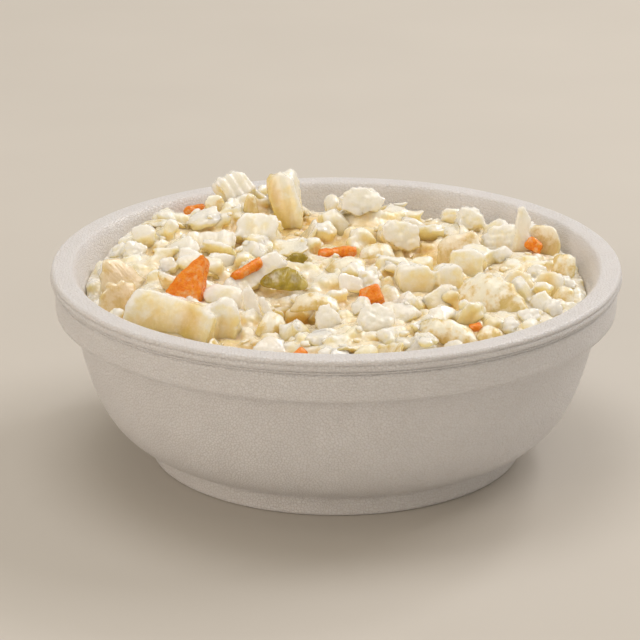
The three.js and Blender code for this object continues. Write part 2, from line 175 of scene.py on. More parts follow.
# The large pieces, each chosen one by one, with the values named above.
SHOWN_PIECES = (
    # front left: two standing slabs of cabbage rib and the big carrot wedge behind them
    ("rib", "slab", -34.9, -27.6, 34.7, 20, 14, 3, 76, -116, -11, 0),
    ("rib", "slab", -22.8, -28.0, 35.6, 7.4, 12, 3.5, 80, -88, 0, 0),
    ("carrot", "carrot", -28.9, -13.4, 41.0, 8.8, 11, 3.4, 46, -108, -14, 0.85),
    ("rib", "slab", -16.8, -3.6, 38.4, 15, 5, 3, 40, -75, 28, 0),
    ("carrot", "carrot", -18.4, -4.4, 40.0, 7.5, 2, 1.8, 40, -80, 28, 0),
    # left wall: a glassy leaf and small chunks
    ("leaf", "leaf", -45.6, -4.5, 36.4, 10.5, 12, 1.3, 52, -50, 20, 0.2),
    ("rib", "dice", -42.6, 12.6, 38.0, 5.4, 4.8, 4, 40, -70, 10, 0),
    ("rib", "slab", -27.2, 20.4, 37.8, 12.5, 5.5, 2.4, 28, -90, 2, 0.2),
    # back left: the peaks that stand above the rim
    ("rib", "dice", -22.6, 41.4, 43.2, 7.2, 6.4, 4.4, 55, -70, 22, 0),
    ("rib", "dice", -11.0, 36.6, 41.6, 6.4, 12.5, 5.6, 74, -96, 13, 0),
    ("leaf", "slab", -18.5, 33.6, 42.0, 4, 5, 2, 70, -90, 0, 0.5),
    ("leaf", "slab", -26.4, 35.6, 41.0, 5, 5, 1.8, 60, -80, 10, 0.2),
    ("rib", "dice", -17.0, 25.0, 38.8, 11, 6.5, 4.5, 45, -95, -5, 0.25),
    # middle: green leaf, thin carrot strips, dice with smooth cut faces
    ("green", "leaf", -10.4, -6.4, 38.8, 11.5, 5, 1.1, 34, -95, -6, 0.35),
    ("green", "leaf", -8.4, 6.8, 38.4, 3.6, 3.4, 1.1, 50, -90, 20, 0),
    ("carrot", "carrot", 0.2, 12.8, 38.1, 8.4, 2, 1.6, 30, -90, 2, 0),
    ("carrot", "carrot", 7.4, -13.8, 37.4, 5.2, 3.4, 2.6, 40, -105, 22, 0.2),
    ("leaf", "leaf", 9.0, 12.4, 38.4, 8.4, 4.4, 1.3, 25, -80, -8, 0.2),
    ("leaf", "leaf", 2.0, 4.5, 37.6, 9, 6, 1.4, 30, -100, 10, 0.1),
    ("rib", "dice", 16.0, -3.6, 37.6, 8.0, 6.8, 6.2, 74, -82, -4, 0),
    ("rib", "dice", 22.9, -3.2, 37.4, 6.4, 6.2, 5.4, 72, -70, -6, 0.05),
    ("rib", "dice", 28.4, 5.2, 38.0, 7.6, 6, 4.4, 64, -95, -8, 0.1),
    ("leaf", "leaf", -4.0, -20.0, 38.6, 10.5, 5, 1.3, 25, -90, -5, 0.2),
    # front: lumps and leaves seen over the near rim
    ("rib", "dice", -1.8, -26.6, 36.6, 5.4, 6.4, 4, 60, -80, 5, 0.2),
    ("rib", "dice", 7.6, -29.0, 37.2, 8, 7, 6, 48, -70, 20, 0.2),
    ("leaf", "leaf", 21.5, -34.4, 37.6, 14, 5.4, 1.6, 45, -100, -10, 0.25),
    ("leaf", "leaf", 31.6, -18.4, 38.9, 16, 7.4, 1.8, 46, -112, -28, 0.2),
    # right: glassy dice, the arched leaf, the upright flake and the round flake
    ("leaf", "leaf", 26.0, 14.6, 37.6, 11, 7.4, 1.5, 50, -100, 16, 0.25),
    ("rib", "dice", 35.6, 19.0, 38.2, 9.2, 6.8, 5, 50, -90, 0, 0.1),
    ("rib", "slab", 39.5, 17.0, 40.8, 3.4, 11, 1.7, 84, -85, -3, 0.55),
    ("leaf", "leaf", 44.8, 18.4, 38.8, 7.6, 6.8, 1.3, 66, -100, -10, 0.1),
    ("carrot", "carrot", 42.0, 14.6, 39.0, 4.2, 2.6, 1.8, 50, -100, -30, 0.2),
    ("rib", "dice", 37.4, -5.0, 37.0, 6.4, 5.8, 4, 52, -95, -6, 0.1),
    ("rib", "dice", 44.0, -5.0, 36.6, 6.6, 6.2, 4, 55, -105, 4, 0.1),
    ("leaf", "leaf", 47.2, 5.0, 37.6, 6.4, 5.6, 1.4, 62, -130, 12, 0.3),
    ("rib", "dice", 41.4, -17.6, 37.0, 4.6, 4.4, 3.4, 48, -100, 30, 0.1),
    # far side: the mound against the wall and the far right peak
    ("rib", "dice", 5.4, 36.4, 41.5, 9.4, 6.4, 6, 58, -85, 4, 0.2),
    ("rib", "dice", 13.8, 22.8, 38.2, 8.2, 6.4, 5.4, 62, -85, -10, 0.15),
    ("rib", "dice", 28.8, 33.4, 38.4, 6.6, 5.8, 5, 55, -85, 10, 0.3),
    # carrot bits that lie low in the dressing, near the front and behind the peaks
    ("carrot", "carrot", 27.4, -33.0, 38.0, 3.2, 1.8, 1.6, 30, -100, 20, 0.2),
    ("carrot", "carrot", -8.0, -45.2, 35.9, 6.4, 1.8, 1.7, 30, -60, 24, 0.1),
    ("carrot", "carrot", -31.0, 39.0, 39.0, 5.6, 2.2, 1.8, 46, 120, 10, 0.2),
)

# Slices, lumps and leaves beside them that are finished but not modelled, with the same values.
SMALL_PIECES = (
    ("rib", "slab", -17.2, -19.6, 37.9, 3.4, 6.6, 1.3, 66, -84, 10, 0.3),
    ("rib", "slab", -13.8, -22.0, 37.2, 3.0, 6.8, 1.2, 60, -72, 10, 0.5),
    ("leaf", "leaf", -12.4, -28.0, 36.4, 6.4, 6.0, 1.1, 50, -62, -30, 0.3),
    ("rib", "dice", 38.6, -24.6, 37.0, 4.6, 3.6, 3.0, 40, -90, 10, 0.1),
    ("rib", "dice", 43.6, -19.4, 36.8, 4.2, 3.8, 3.0, 50, -60, 30, 0.1),
    ("leaf", "leaf", 46.2, -11.6, 37.0, 5.4, 4.6, 1.2, 56, -120, 10, 0.3),
    ("rib", "dice", 34.4, -29.6, 36.8, 4.4, 3.6, 3.0, 30, -90, 50, 0.2),
    ("leaf", "leaf", 30.4, -34.6, 36.8, 5.6, 4.4, 1.2, 48, -80, -30, 0.2),
    ("rib", "dice", 47.6, -3.8, 36.8, 3.8, 3.4, 2.6, 40, -100, 20, 0.2),
    ("leaf", "leaf", -43.6, -13.4, 36.4, 11.0, 8.6, 1.0, 58, -50, -22, 0.3),
    ("rib", "slab", -22.6, -16.4, 38.4, 8.4, 5.2, 2.2, 42, -84, -14, 0.3),
    ("rib", "dice", -48.0, 3.0, 37.0, 3.8, 3.4, 2.6, 40, -60, 20, 0.2),
    ("rib", "dice", -35.0, 2.0, 38.6, 4.2, 3.8, 3.0, 46, -90, 20, 0.2),
    ("rib", "slab", -30.6, 6.6, 38.8, 5.4, 4.4, 1.8, 44, -70, -20, 0.2),
    ("rib", "dice", 7.6, -1.6, 37.8, 4.4, 3.6, 3.0, 46, -100, 20, 0.2),
    ("rib", "slab", 3.0, -6.8, 38.0, 5.2, 4.0, 1.6, 50, -70, -16, 0.2),
    ("rib", "dice", 34.6, 9.6, 38.6, 4.6, 3.8, 3.0, 46, -80, 30, 0.2),
)

# What is special about large pieces, by their place in their table, from 0.

# Golden bands, painted shade down a piece's side and partly its cut's own golden tone: middle and
# width in shares of the piece's half width, and how golden.
GOLDEN_SIDES = {0: (0.4, 0.22, 0.66), 9: (-0.9, 0.6, 0.8), 32: (0, 0.5, 0.5), 33: (0, 0.5, 0.5)}

# Pieces that are whiter all over.
WHITE_SHOWN = (3, 6, 7, 8, 12, 23, 24, 28, 29, 36, 37, 38)

# Veins that show as ridges: how far apart and how high.
RIDGE_PITCH = {8: (1.9, 0.22), 7: (3.2, 0.2), 9: (2.6, 0.1), 12: (3.6, 0.16), 28: (2.4, 0.1)}

# Leaves that are wet through, and how far.
GLASSY_LEAVES = {5: 1.0, 27: 0.75, 30: 0.75}

# Lumps of crumbs rather than one cut piece.
CRUMBLY_SHOWN = (6, 23, 24, 28, 36, 37, 38)

# Hollows between the pieces, deepened and painted golden as shade and pooled dressing: x, y,
# radius and how golden.
GOLDEN_HOLLOWS = (
    (-7.6, -21.6, 3.8, 0.72),
    (19.2, 20.1, 4.0, 0.5),
    (23.5, -14.8, 3.0, 0.5),
    (20.2, -31.5, 2.6, 0.4),
    (11.2, 1.5, 2.4, 0.5),
    (-38.3, 27.7, 3.0, 0.4),
    (9.9, -20.5, 2.4, 0.4),
    (-1.3, 36.9, 3.4, 0.4),
    (-14.1, -34.6, 3.0, 0.4),
)
# A hollow more golden than this stays free of loose pieces and bits.
BARE_HOLLOW = 0.7

# Large pieces whose finished form has other values than the modelled one. An outline is how
# full its corners are: 2 is round, and more is squarer.
FINER_SHAPES = {
    5: dict(thick=0.9, outline=3.6, across=11.5, up=12.6),
    19: dict(across=7.5, taper=0.06),
    20: dict(x=22.9, y=-2.6, across=5.7),
    21: dict(x=27.2, y=4.6),
    29: dict(across=3.8, thick=2.4, taper=0.28),
    13: dict(across=12.6, up=5.8, thick=0.7, taper=0.5, outline=2.2),
    14: dict(across=5.6, up=3.4, thick=0.6, outline=1.4),
    16: dict(x=7.0, y=-15.4, z=38.1, up=3.8),
    26: dict(outline=3.4, across=18.0, up=9.0),
    27: dict(z=38.2),
    30: dict(across=8.4, up=7.8, y=17.8, outline=3.0),
}

# Wider than this, a large slab has a round rib and a small leaf is glassy.
RIBBED_ACROSS = 17
GLASSY_ACROSS = 10
# How much whiter the white, the other large and the small pieces are than their painted light and
# shade alone make them.
WHITE_EXTRA = 0.5
LARGE_EXTRA = 0.1
SMALL_EXTRA = 0.3

# How far apart the random patterns of pieces with following numbers lie.
PIECE_STEPS = (7.13, 3.71, 5.37)
CHUNK_GRAIN_STEPS = (3.1, 1.7, 2.3)
CRUMB_STEPS = (2.3, 6.1, 4.9)
BIT_STEPS = (1.37, 2.11, 0.73)


noise.seed_set(NOISE_SEED)


def repeatable_draws(seed):
    """A repeatable stream of numbers between two limits."""
    modulus = 2147483647
    state = seed

    def draw(low, high):
        nonlocal state
        state = state * 16807 % modulus
        return low + (high - low) * state / modulus

    return draw


# ------------------------------------------------------------------ mesh helpers


def add_object(name, data):
    added = bpy.data.objects.new(name, data)
    bpy.context.scene.collection.objects.link(added)
    return added


def finished_piece(name, bm, material, smooth=True):
    """Brings a bmesh in millimetres to a finished object in metres, at the origin."""
    bmesh.ops.scale(bm, vec=(MM, MM, MM), verts=bm.verts)
    mesh = bpy.data.meshes.new(name)
    bm.to_mesh(mesh)
    bm.free()
    piece = add_object(name, mesh)
    mesh.materials.append(material)
    mesh.polygons.foreach_set("use_smooth", [smooth] * len(mesh.polygons))
    return piece


def apply_modifiers(piece):
    """The piece keeps the shape that its modifiers make, as plain mesh."""
    depsgraph = bpy.context.evaluated_depsgraph_get()
    shaped = bpy.data.meshes.new_from_object(piece.evaluated_get(depsgraph))
    raw = piece.data
    piece.modifiers.clear()
    piece.data = shaped
    shaped.name = piece.name
    bpy.data.meshes.remove(raw)


def spun_profile(profile, segments):
    """A full turn of (radius, height) points, closed at the axis and welded."""
    bm = bmesh.new()
    verts = [bm.verts.new((r, 0, z)) for r, z in profile]
    edges = [bm.edges.new(pair) for pair in zip(verts, verts[1:])]
    bmesh.ops.spin(
        bm,
        geom=verts + edges,
        cent=(0, 0, 0),
        axis=(0, 0, 1),
        angle=2 * math.pi,
        steps=segments,
        use_merge=True,
    )
    bmesh.ops.remove_doubles(bm, verts=bm.verts, dist=1e-5)
    bmesh.ops.recalc_face_normals(bm, faces=bm.faces)
    return bm


# ------------------------------------------------------------------ materials


class Finish:
    """A node material with short ways to add and join its nodes."""

    def __init__(self, name):
        self.material = bpy.data.materials.new(name)
        self.material.use_nodes = True
        self.nodes = self.material.node_tree.nodes
        self.links = self.material.node_tree.links
        self.shader = self.nodes["Principled BSDF"]
        self.place = self.nodes.new("ShaderNodeTexCoord").outputs["Object"]

    def add(self, kind, inputs=None, **settings):
        node = self.nodes.new("ShaderNode" + kind)
        for key, value in settings.items():
            setattr(node, key, value)
        for key, value in (inputs or {}).items():
            if isinstance(value, bpy.types.NodeSocket):
                self.links.new(value, node.inputs[key])
            else:
                node.inputs[key].default_value = value
        return node

    def noise(self, size_mm, detail=3.0, roughness=0.55, place=None):
        """Soft cloudy variation whose features are about size_mm wide."""
        inputs = {"Vector": place or self.place, "Scale": 1 / (size_mm * MM)}
        inputs.update({"Detail": detail, "Roughness": roughness})
        return self.add("TexNoise", inputs).outputs["Fac"]

    def cells(self, size_mm, feature="F1"):
        """How far a point lies from the middle, or the edge, of a cell about size_mm wide."""
        inputs = {"Vector": self.place, "Scale": 1 / (size_mm * MM)}
        return self.add("TexVoronoi", inputs, feature=feature).outputs["Distance"]

    def band(self, value, low, high, to_low=0.0, to_high=1.0):
        """Stretches low..high of a value to to_low..to_high."""
        inputs = {"Value": value, "From Min": low, "From Max": high}
        inputs.update({"To Min": to_low, "To Max": to_high})
        return self.add("MapRange", inputs).outputs["Result"]

    def mix(self, share, first, second):
        """The first colour, with a share of the second."""
        node = self.add("Mix", data_type="RGBA")
        for key, value in (("Factor", share), ("A", first), ("B", second)):
            socket = [s for s in node.inputs if s.name == key and s.enabled][0]
            if isinstance(value, bpy.types.NodeSocket):
                self.links.new(value, socket)
            else:
                socket.default_value = value
        return [s for s in node.outputs if s.enabled][0]

    def maths(self, operation, first, second=0.0):
        return self.add("Math", {0: first, 1: second}, operation=operation).outputs[0]

    def attribute(self, name, output="Fac"):
        return self.add("Attribute", attribute_name=name).outputs[output]

    def bump(self, height, depth_mm, under=None):
        """Relief depth_mm deep, over another relief if one is given."""
        inputs = {"Height": height, "Distance": depth_mm * MM}
        if under is not None:
            inputs["Normal"] = under
        return self.add("Bump", inputs).outputs["Normal"]

    def wire(self, **sockets):
        """Joins values to the shader, by socket names with _ for spaces."""
        for key, value in sockets.items():
            socket = self.shader.inputs[key.replace("_", " ")]
            if isinstance(value, bpy.types.NodeSocket):
                self.links.new(value, socket)
            else:
                socket.default_value = value
        return self.material


def colour(red, green, blue):
    """A colour from 0..255 screen values, as the linear light that a shader takes."""

    def linear(value):
        share = value / 255
        return share / 12.92 if share <= 0.04045 else ((share + 0.055) / 1.055) ** 2.4

    return (linear(red), linear(green), linear(blue), 1.0)


# The tones of dressed cabbage: under dressing and as painted light where it faces up, bare, and
# golden for its veins and as painted shade in its sides and hollows.
RIB_TONES = (colour(253, 245, 234), colour(246, 229, 180), colour(225, 195, 102))
LEAF_TONES = (colour(252, 243, 226), colour(232, 212, 160), colour(212, 186, 104))
GLASSY_TONE = colour(208, 184, 140)
FOAM_BEAD_MM = 0.62
WET_BEAD_MM = 0.55
PALE_DEPTH = (1.0, 0.97, 0.88)


def white_foam_finish():
    """Foam beads that meet in darker seams."""
    finish = Finish("white_foam")
    beads = finish.cells(FOAM_BEAD_MM)
    seams = finish.cells(FOAM_BEAD_MM, feature="DISTANCE_TO_EDGE")
    grain = finish.noise(0.3, detail=2)
    cloud = finish.noise(7, detail=3)
    seam_share = finish.band(seams, 0.0, 0.1, 1.0, 0.0)
    tone = finish.mix(cloud, colour(225, 223, 225), colour(235, 234, 237))
    tone = finish.mix(finish.maths("MULTIPLY", seam_share, 0.26), tone, colour(188, 176, 166))
    height = finish.maths("SUBTRACT", finish.maths("MULTIPLY", beads, -0.7), seam_share)
    relief = finish.bump(height, 0.08)
    relief = finish.bump(grain, 0.02, relief)
    return finish.wire(
        Base_Color=tone,
        Roughness=finish.band(grain, 0.3, 0.7, 0.28, 0.46),
        Normal=relief,
        Subsurface_Weight=0.3,
        Subsurface_Radius=(1.0, 0.9, 0.8),
        Subsurface_Scale=0.0012,
    )


def wet_cabbage_finish(
    name, tones, vein_mm, veined, wet, cream, smears, smear_mm, glassy=0.0, inner_mm=3.4
):
    """Dressed cabbage: white under dressing and with painted light where it faces up, golden with
    painted shade and pooled dressing in its sides and hollows.

    veined is how much its veins show, wet the weight of its coat, cream how much dressing lies
    on it, smears and smear_mm how unevenly, and inner_mm how deep the light goes in.
    """
    white, middle, golden = tones
    finish = Finish(name)
    grain = finish.attribute("grain", "Vector")
    hollow = finish.attribute("hollow")
    top = finish.attribute("top")
    along = finish.add("Mapping", {"Vector": grain, "Scale": (1.0, 0.2, 0.5)})
    ribs = finish.noise(vein_mm, detail=3, place=along.outputs["Vector"])
    cloud = finish.noise(smear_mm, detail=5, roughness=0.62)
    fine = finish.noise(0.8, detail=3)
    cream_and_light_share = finish.band(cloud, 0.36, 0.64, cream - smears, cream + smears)
    # Painted light: whiter where the piece faces up and lies high in the heap, and on whiter
    # pieces.
    cream_and_light_share = finish.maths("ADD", cream_and_light_share, top)
    tone = finish.mix(finish.band(ribs, 0.36, 0.64, 0.0, veined), middle, golden)
    tone = finish.mix(finish.band(cream_and_light_share, 0.25, 0.95), tone, white)
    glassy_share = finish.band(finish.attribute("tint"), 0.6, 1.0, 0.0, glassy)
    tone = finish.mix(glassy_share, tone, GLASSY_TONE)
    # Painted shade, partly pooled dressing: golden deep in the heap, in golden bands and in the
    # named hollows.
    tone = finish.mix(hollow, tone, golden)
    relief = finish.bump(ribs, 0.16)
    relief = finish.bump(fine, 0.08, relief)
    beads = finish.bump(finish.noise(WET_BEAD_MM, detail=2), 0.05, relief)
    return finish.wire(
        Base_Color=tone,
        Roughness=finish.band(fine, 0.3, 0.7, 0.16, 0.32),
        Normal=relief,
        Subsurface_Weight=0.85,
        Subsurface_Radius=PALE_DEPTH,
        Subsurface_Scale=inner_mm * MM,
        Specular_IOR_Level=0.35,
        Coat_Weight=wet,
        Coat_Roughness=0.05,
        Coat_Normal=beads,
    )


def dressing_finish():
    """Creamy dressing with crumbs in it, whiter with painted light where it faces up, golden with
    painted shade and pooled dressing in the hollows.
    """
    finish = Finish("creamy_dressing")
    hollow = finish.attribute("hollow")
    top = finish.attribute("top")
    cloud = finish.noise(5, detail=4)
    fine = finish.noise(0.9, detail=3)
    specks = finish.cells(1.1)
    # Painted light: whiter where the dressing faces up and lies high in the heap.
    share = finish.maths("ADD", finish.band(cloud, 0.35, 0.65, -0.35, 0.25), top)
    tone = finish.mix(finish.band(share, 0.2, 0.95), colour(247, 228, 172), colour(253, 245, 234))
    # Painted shade, partly pooled dressing: golden deep in the heap and in the named hollows.
    tone = finish.mix(hollow, tone, colour(232, 194, 96))
    relief = finish.bump(fine, 0.11)
    relief = finish.bump(specks, 0.07, relief)
    beads = finish.bump(finish.noise(WET_BEAD_MM, detail=2), 0.06, relief)
    return finish.wire(
        Base_Color=tone,
        Roughness=finish.band(fine, 0.3, 0.7, 0.2, 0.36),
        Normal=relief,
        Subsurface_Weight=0.85,
        Subsurface_Radius=PALE_DEPTH,
        Subsurface_Scale=0.0024,
        Specular_IOR_Level=0.4,
        Coat_Weight=0.6,
        Coat_Roughness=0.05,
        Coat_Normal=beads,
    )


def green_leaf_finish():
    """Olive leaf with pale veins and smears of dressing."""
    finish = Finish("green_leaf")
    grain = finish.attribute("grain", "Vector")
    along = finish.add("Mapping", {"Vector": grain, "Scale": (1.0, 0.3, 1.0)})
    veins = finish.noise(1.1, detail=3, place=along.outputs["Vector"])
    cloud = finish.noise(3, detail=3)
    fine = finish.noise(0.7, detail=3)
    tone = finish.mix(finish.band(cloud, 0.35, 0.65), colour(138, 116, 0), colour(180, 156, 30))
    tone = finish.mix(finish.band(veins, 0.5, 0.66, 0.0, 0.4), tone, colour(204, 188, 118))
    coat = finish.band(finish.noise(3.4, detail=3), 0.6, 0.74, 0.0, 0.5)
    tone = finish.mix(coat, tone, colour(248, 238, 218))
    relief = finish.bump(veins, 0.35)
    relief = finish.bump(fine, 0.12, relief)
    return finish.wire(
        Base_Color=tone,
        Roughness=0.18,
        Normal=relief,
        Subsurface_Weight=0.35,
        Subsurface_Radius=(0.9, 0.9, 0.4),
        Subsurface_Scale=0.001,
        Coat_Weight=0.4,
        Coat_Roughness=0.08,
    )


def carrot_finish():
    """Orange carrot with fine pores and smears of dressing."""
    finish = Finish("carrot")
    grain = finish.attribute("grain", "Vector")
    pores = finish.noise(0.8, detail=4, place=grain)
    cloud = finish.noise(2.6, detail=2)
    tone = finish.mix(finish.band(pores, 0.35, 0.65), colour(238, 122, 4), colour(250, 160, 30))
    tone = finish.mix(finish.band(cloud, 0.4, 0.7, 0.0, 0.6), tone, colour(244, 134, 10))
    coat = finish.band(finish.noise(1.3, detail=4), 0.52, 0.7, 0.0, 0.75)
    tone = finish.mix(coat, tone, colour(246, 196, 136))
    relief = finish.bump(pores, 0.34)
    return finish.wire(
        Base_Color=tone,
        Roughness=finish.band(pores, 0.3, 0.7, 0.22, 0.4),
        Normal=relief,
        Specular_IOR_Level=0.3,
        Subsurface_Weight=0.3,
        Subsurface_Radius=(1.0, 0.6, 0.2),
        Subsurface_Scale=0.001,
        Coat_Weight=0.3,
        Coat_Roughness=0.1,
    )


# ------------------------------------------------------------------ the foam bowl


def bezier_points(p0, p1, p2, p3, steps):
    """Points on a cubic curve between p0 and p3."""
    points = []
    for i in range(steps + 1):
        t = i / steps
        s = 1 - t
        weights = (s**3, 3 * s * s * t, 3 * s * t * t, t**3)
        corners = (p0, p1, p2, p3)
        points.append(tuple(sum(w * c[k] for w, c in zip(weights, corners)) for k in (0, 1)))
    return points


def inner_wall_points(steps=WALL_STEPS):
    """From the rim's fillet down to the floor: a shallow shoulder, then the belly."""
    top = [
        (RIM_INNER, BOWL_HEIGHT - 0.35),
        (RIM_INNER - 0.5, BOWL_HEIGHT - 1.3),
        (RIM_INNER - 0.8, SHOULDER_HEIGHT + 0.6),
    ]
    belly = bezier_points(
        (SHOULDER_RADIUS, SHOULDER_HEIGHT),
        (BODY_TOP_RADIUS - 5, 22),
        (BODY_TOP_RADIUS - 7, 9.5),
        (FOOT_INNER, FLOOR_TOP),
        steps,
    )
    return top + belly


# The inside as the CAD has it, in few steps, and as it is finished.
INNER_WALL = inner_wall_points(PLAIN_WALL_STEPS)
FINISHED_WALL = sorted((z, radius) for radius, z in inner_wall_points())


def inside_radius(z):
    """The radius of the CAD's inside at a height, straight up above the rim."""
    if z >= INNER_WALL[0][1]:
        return INNER_WALL[0][0]
    for upper, lower in zip(INNER_WALL, INNER_WALL[1:]):
        if z >= lower[1]:
            share = (z - lower[1]) / (upper[1] - lower[1])
            return lower[0] + share * (upper[0] - lower[0])
    return 0.0


def room_radius(z):
    """How far out the contents may reach at a height."""
    return min(inside_radius(z), SHOULDER_RADIUS) - DISH_GAP


def arc_points(centre, radius, start, stop, steps):
    """Points on an arc, by angles in degrees from the outward direction."""
    turns = [math.radians(start + (stop - start) * i / steps) for i in range(steps + 1)]
    return [(centre[0] + radius * math.cos(a), centre[1] + radius * math.sin(a)) for a in turns]


def foam_bowl_profile():
    """The bowl's cut, as (radius, height) from under its middle out, up and back in."""
    underside = [(0, FOOT_RECESS), (FOOT_INNER - 1.2, FOOT_RECESS)]
    foot = [
        (FOOT_INNER - 0.45, FOOT_RECESS - 0.5),
        (FOOT_INNER - 0.1, 0.35),
        (FOOT_INNER + 0.3, 0),
        (FOOT_RADIUS - 0.6, 0),
        (FOOT_RADIUS - 0.12, 0.28),
        (FOOT_RADIUS, 0.8),
        (FOOT_RADIUS + 0.08, 3.2),
        (FOOT_RADIUS + 0.5, 4.3),
    ]
    belly = bezier_points(
        (BELLY_RADIUS, BELLY_HEIGHT),
        (50.6, 8.1),
        (52.25, 21.5),
        (BODY_TOP_RADIUS, BAND_BOTTOM - 0.25),
        WALL_STEPS,
    )
    step = [(BODY_TOP_RADIUS + 0.25, BAND_BOTTOM), (RIM_RADIUS - 1.35, BAND_BOTTOM + 0.05)]
    band = [(RIM_RADIUS - 1.02, BAND_BOTTOM + 0.35), (RIM_RADIUS - 0.92, BAND_BOTTOM + 1.2)]
    lip = [(RIM_RADIUS - inset, LIP_LOW + rise) for inset, rise in LIP_POINTS]
    lip += arc_points((RIM_RADIUS - 0.98, BOWL_HEIGHT - 0.82), 0.82, 12, 90, 5)
    rim_top = [(RIM_RADIUS - 2.6, BOWL_HEIGHT)]
    rim_top += arc_points((RIM_INNER + 1.5, BOWL_HEIGHT - 1.2), 1.2, 90, 150, 4)
    inner = [(RIM_INNER - 0.45, BOWL_HEIGHT - 1.7), *inner_wall_points()[2:], (0, FLOOR_TOP)]
    return underside + foot + belly + step + band + lip + rim_top + inner


def make_foam_bowl():
    """The bowl, with fine ticks all round its lip."""
    bm = spun_profile(foam_bowl_profile(), LIP_TICKS * 2)
    for vert in bm.verts:
        radius = math.hypot(vert.co.x, vert.co.y)
        if radius > RIM_RADIUS - 0.3 and LIP_LOW + 0.3 < vert.co.z < LIP_LOW + 1.3:
            turn = math.atan2(vert.co.y, vert.co.x)
            cut = LIP_TICK_DEPTH * (0.5 - 0.5 * math.cos(turn * LIP_TICKS))
            vert.co.x *= 1 - cut / radius
            vert.co.y *= 1 - cut / radius
    bowl = finished_piece("foam_bowl_shell", bm, white_foam_finish())
    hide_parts("foam_bowl")
    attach(bowl, "root")


# ------------------------------------------------------------------ the chopped pieces


def core_height(x, y):
    """How high the dressed mass reaches, with its mounds and hollows."""
    z = CORE_LEVEL
    for mx, my, height, spread in MOUNDS:
        z += height * math.exp(-((x - mx) ** 2 + (y - my) ** 2) / (2 * spread * spread))
    return z


def own_offset(number, steps):
    """Where the piece of that number lies in the random patterns."""
    return Vector(number * step for step in steps)


def half_size(piece):
    return Vector((piece["across"], piece["up"], piece["thick"])) / 2


def piece_matrix(piece):
    """The piece's own axes: right along the slope, up the slope, and out of its face."""
    lean, toward = math.radians(piece["lean"]), math.radians(piece["toward"])
    along = Vector((-math.sin(toward), math.cos(toward), 0))
    out = Vector(
        (math.sin(lean) * math.cos(toward), math.sin(lean) * math.sin(toward), math.cos(lean))
    )
    turn = Matrix((along, out.cross(along), out)).transposed().to_4x4()
    spin = Matrix.Rotation(math.radians(piece["spin"]), 4, "Z")
    return Matrix.Translation((piece["x"], piece["y"], piece["z"])) @ turn @ spin


def bent(piece, u, v, w):
    """A point of the piece from its shares across, up the slope and through it."""
    form = FORMS[piece["form"]]
    corner = piece["corners"][(1 if u > 0 else 0) + (2 if v > 0 else 0)]
    uneven = 1 + (corner - 1) * abs(u * v)
    narrow = 1 - piece["taper"] * (v + 1) / 2
    bend = form["curl"] * piece["across"] * (u * u - 0.4) + form["buckle"] * piece["up"] * v * v
    bend *= 0.35 if piece["finish"] == "green" else 0.3 if piece.get("glassy") else 1
    return Vector(
        (
            u * narrow * uneven * piece["across"] / 2,
            v * uneven * piece["up"] / 2,
            w * piece["thick"] / 2 + piece["turned"] * bend,
        )
    )


def outline_points(piece):
    """The points of the piece's plain form, to try its fit in the bowl."""
    matrix = piece_matrix(piece)
    if piece["form"] == "crumb":
        return [matrix @ (tip * half_size(piece)) for tip in CRUMB_TIPS]
    across, up = FORMS[piece["form"]]["cuts"]
    return [
        matrix @ bent(piece, 2 * i / across - 1, 2 * j / up - 1, w)
        for i in range(across + 1)
        for j in range(up + 1)
        for w in (-1, 1)
    ]


def in_free_corner(point, margin=0):
    low, high = FREE_CORNER
    return all(low[k] - margin <= point[k] <= high[k] + margin for k in range(3))


def fits_dish(piece):
    """Whether the piece stays inside the bowl and out of the free space."""
    for point in outline_points(piece):
        if math.hypot(point.x, point.y) > room_radius(point.z) or in_free_corner(point):
            return False
    return True


def fitted(pieces):
    """Pieces that would cross the dish move inwards, and are left out if they never fit."""
    kept = []
    for piece in pieces:
        for _ in range(MOST_MOVES):
            if fits_dish(piece):
                kept.append(piece)
                break
            piece["x"] *= MOVE_INWARDS
            piece["y"] *= MOVE_INWARDS
    return kept


def tabled_pieces(rows, draw):
    """The pieces of a table, each with uneven corners of its own."""
    pieces = []
    for row in rows:
        piece = dict(zip(PIECE_VALUES, row), shown=True)
        piece["corners"] = [draw(0.9, 1.06) for _ in range(4)]
        piece["turned"] = -1 if piece["form"] == "leaf" else 1
        pieces.append(piece)
    return pieces


def large_pieces(draw):
    """The large pieces in their finished form, with what is special about each."""
    pieces = tabled_pieces(SHOWN_PIECES, draw)
    for index, piece in enumerate(pieces):
        piece["ribbed"] = piece["across"] > RIBBED_ACROSS and piece["form"] == "slab"
        piece["crumbly"] = index in CRUMBLY_SHOWN
        piece["glassy"] = GLASSY_LEAVES.get(index, 0.0)
        piece["whiter"] = WHITE_EXTRA if index in WHITE_SHOWN else LARGE_EXTRA
        for name, table in (("ridges", RIDGE_PITCH), ("gold", GOLDEN_SIDES)):
            if index in table:
                piece[name] = table[index]
        piece.update(FINER_SHAPES.get(index, {}))
    return pieces


def small_pieces():
    """The small pieces of the second table."""
    pieces = tabled_pieces(SMALL_PIECES, repeatable_draws(SMALL_SEED))
    for piece in pieces:
        piece["ribbed"] = False
        piece["crumbly"] = piece["form"] == "dice"
        piece["glassy"] = 1.0 if piece["across"] > GLASSY_ACROSS else 0.0
        piece["whiter"] = SMALL_EXTRA
    return pieces


def spiral_place(index, count, field_radius, draw):
    """Even places over a round field: a sunflower spiral with a little disorder."""
    radius = field_radius * math.sqrt((index + 0.5) / count)
    turn = index * GOLDEN_ANGLE
    x = radius * math.cos(turn) + draw(-SPIRAL_DISORDER, SPIRAL_DISORDER)
    y = radius * math.sin(turn) + draw(-SPIRAL_DISORDER, SPIRAL_DISORDER)
    return x, y


def turn_loose(piece, draw, leans):
    piece["lean"] = draw(*leans)
    piece["toward"] = draw(0, 360)
    piece["spin"] = draw(0, 90)


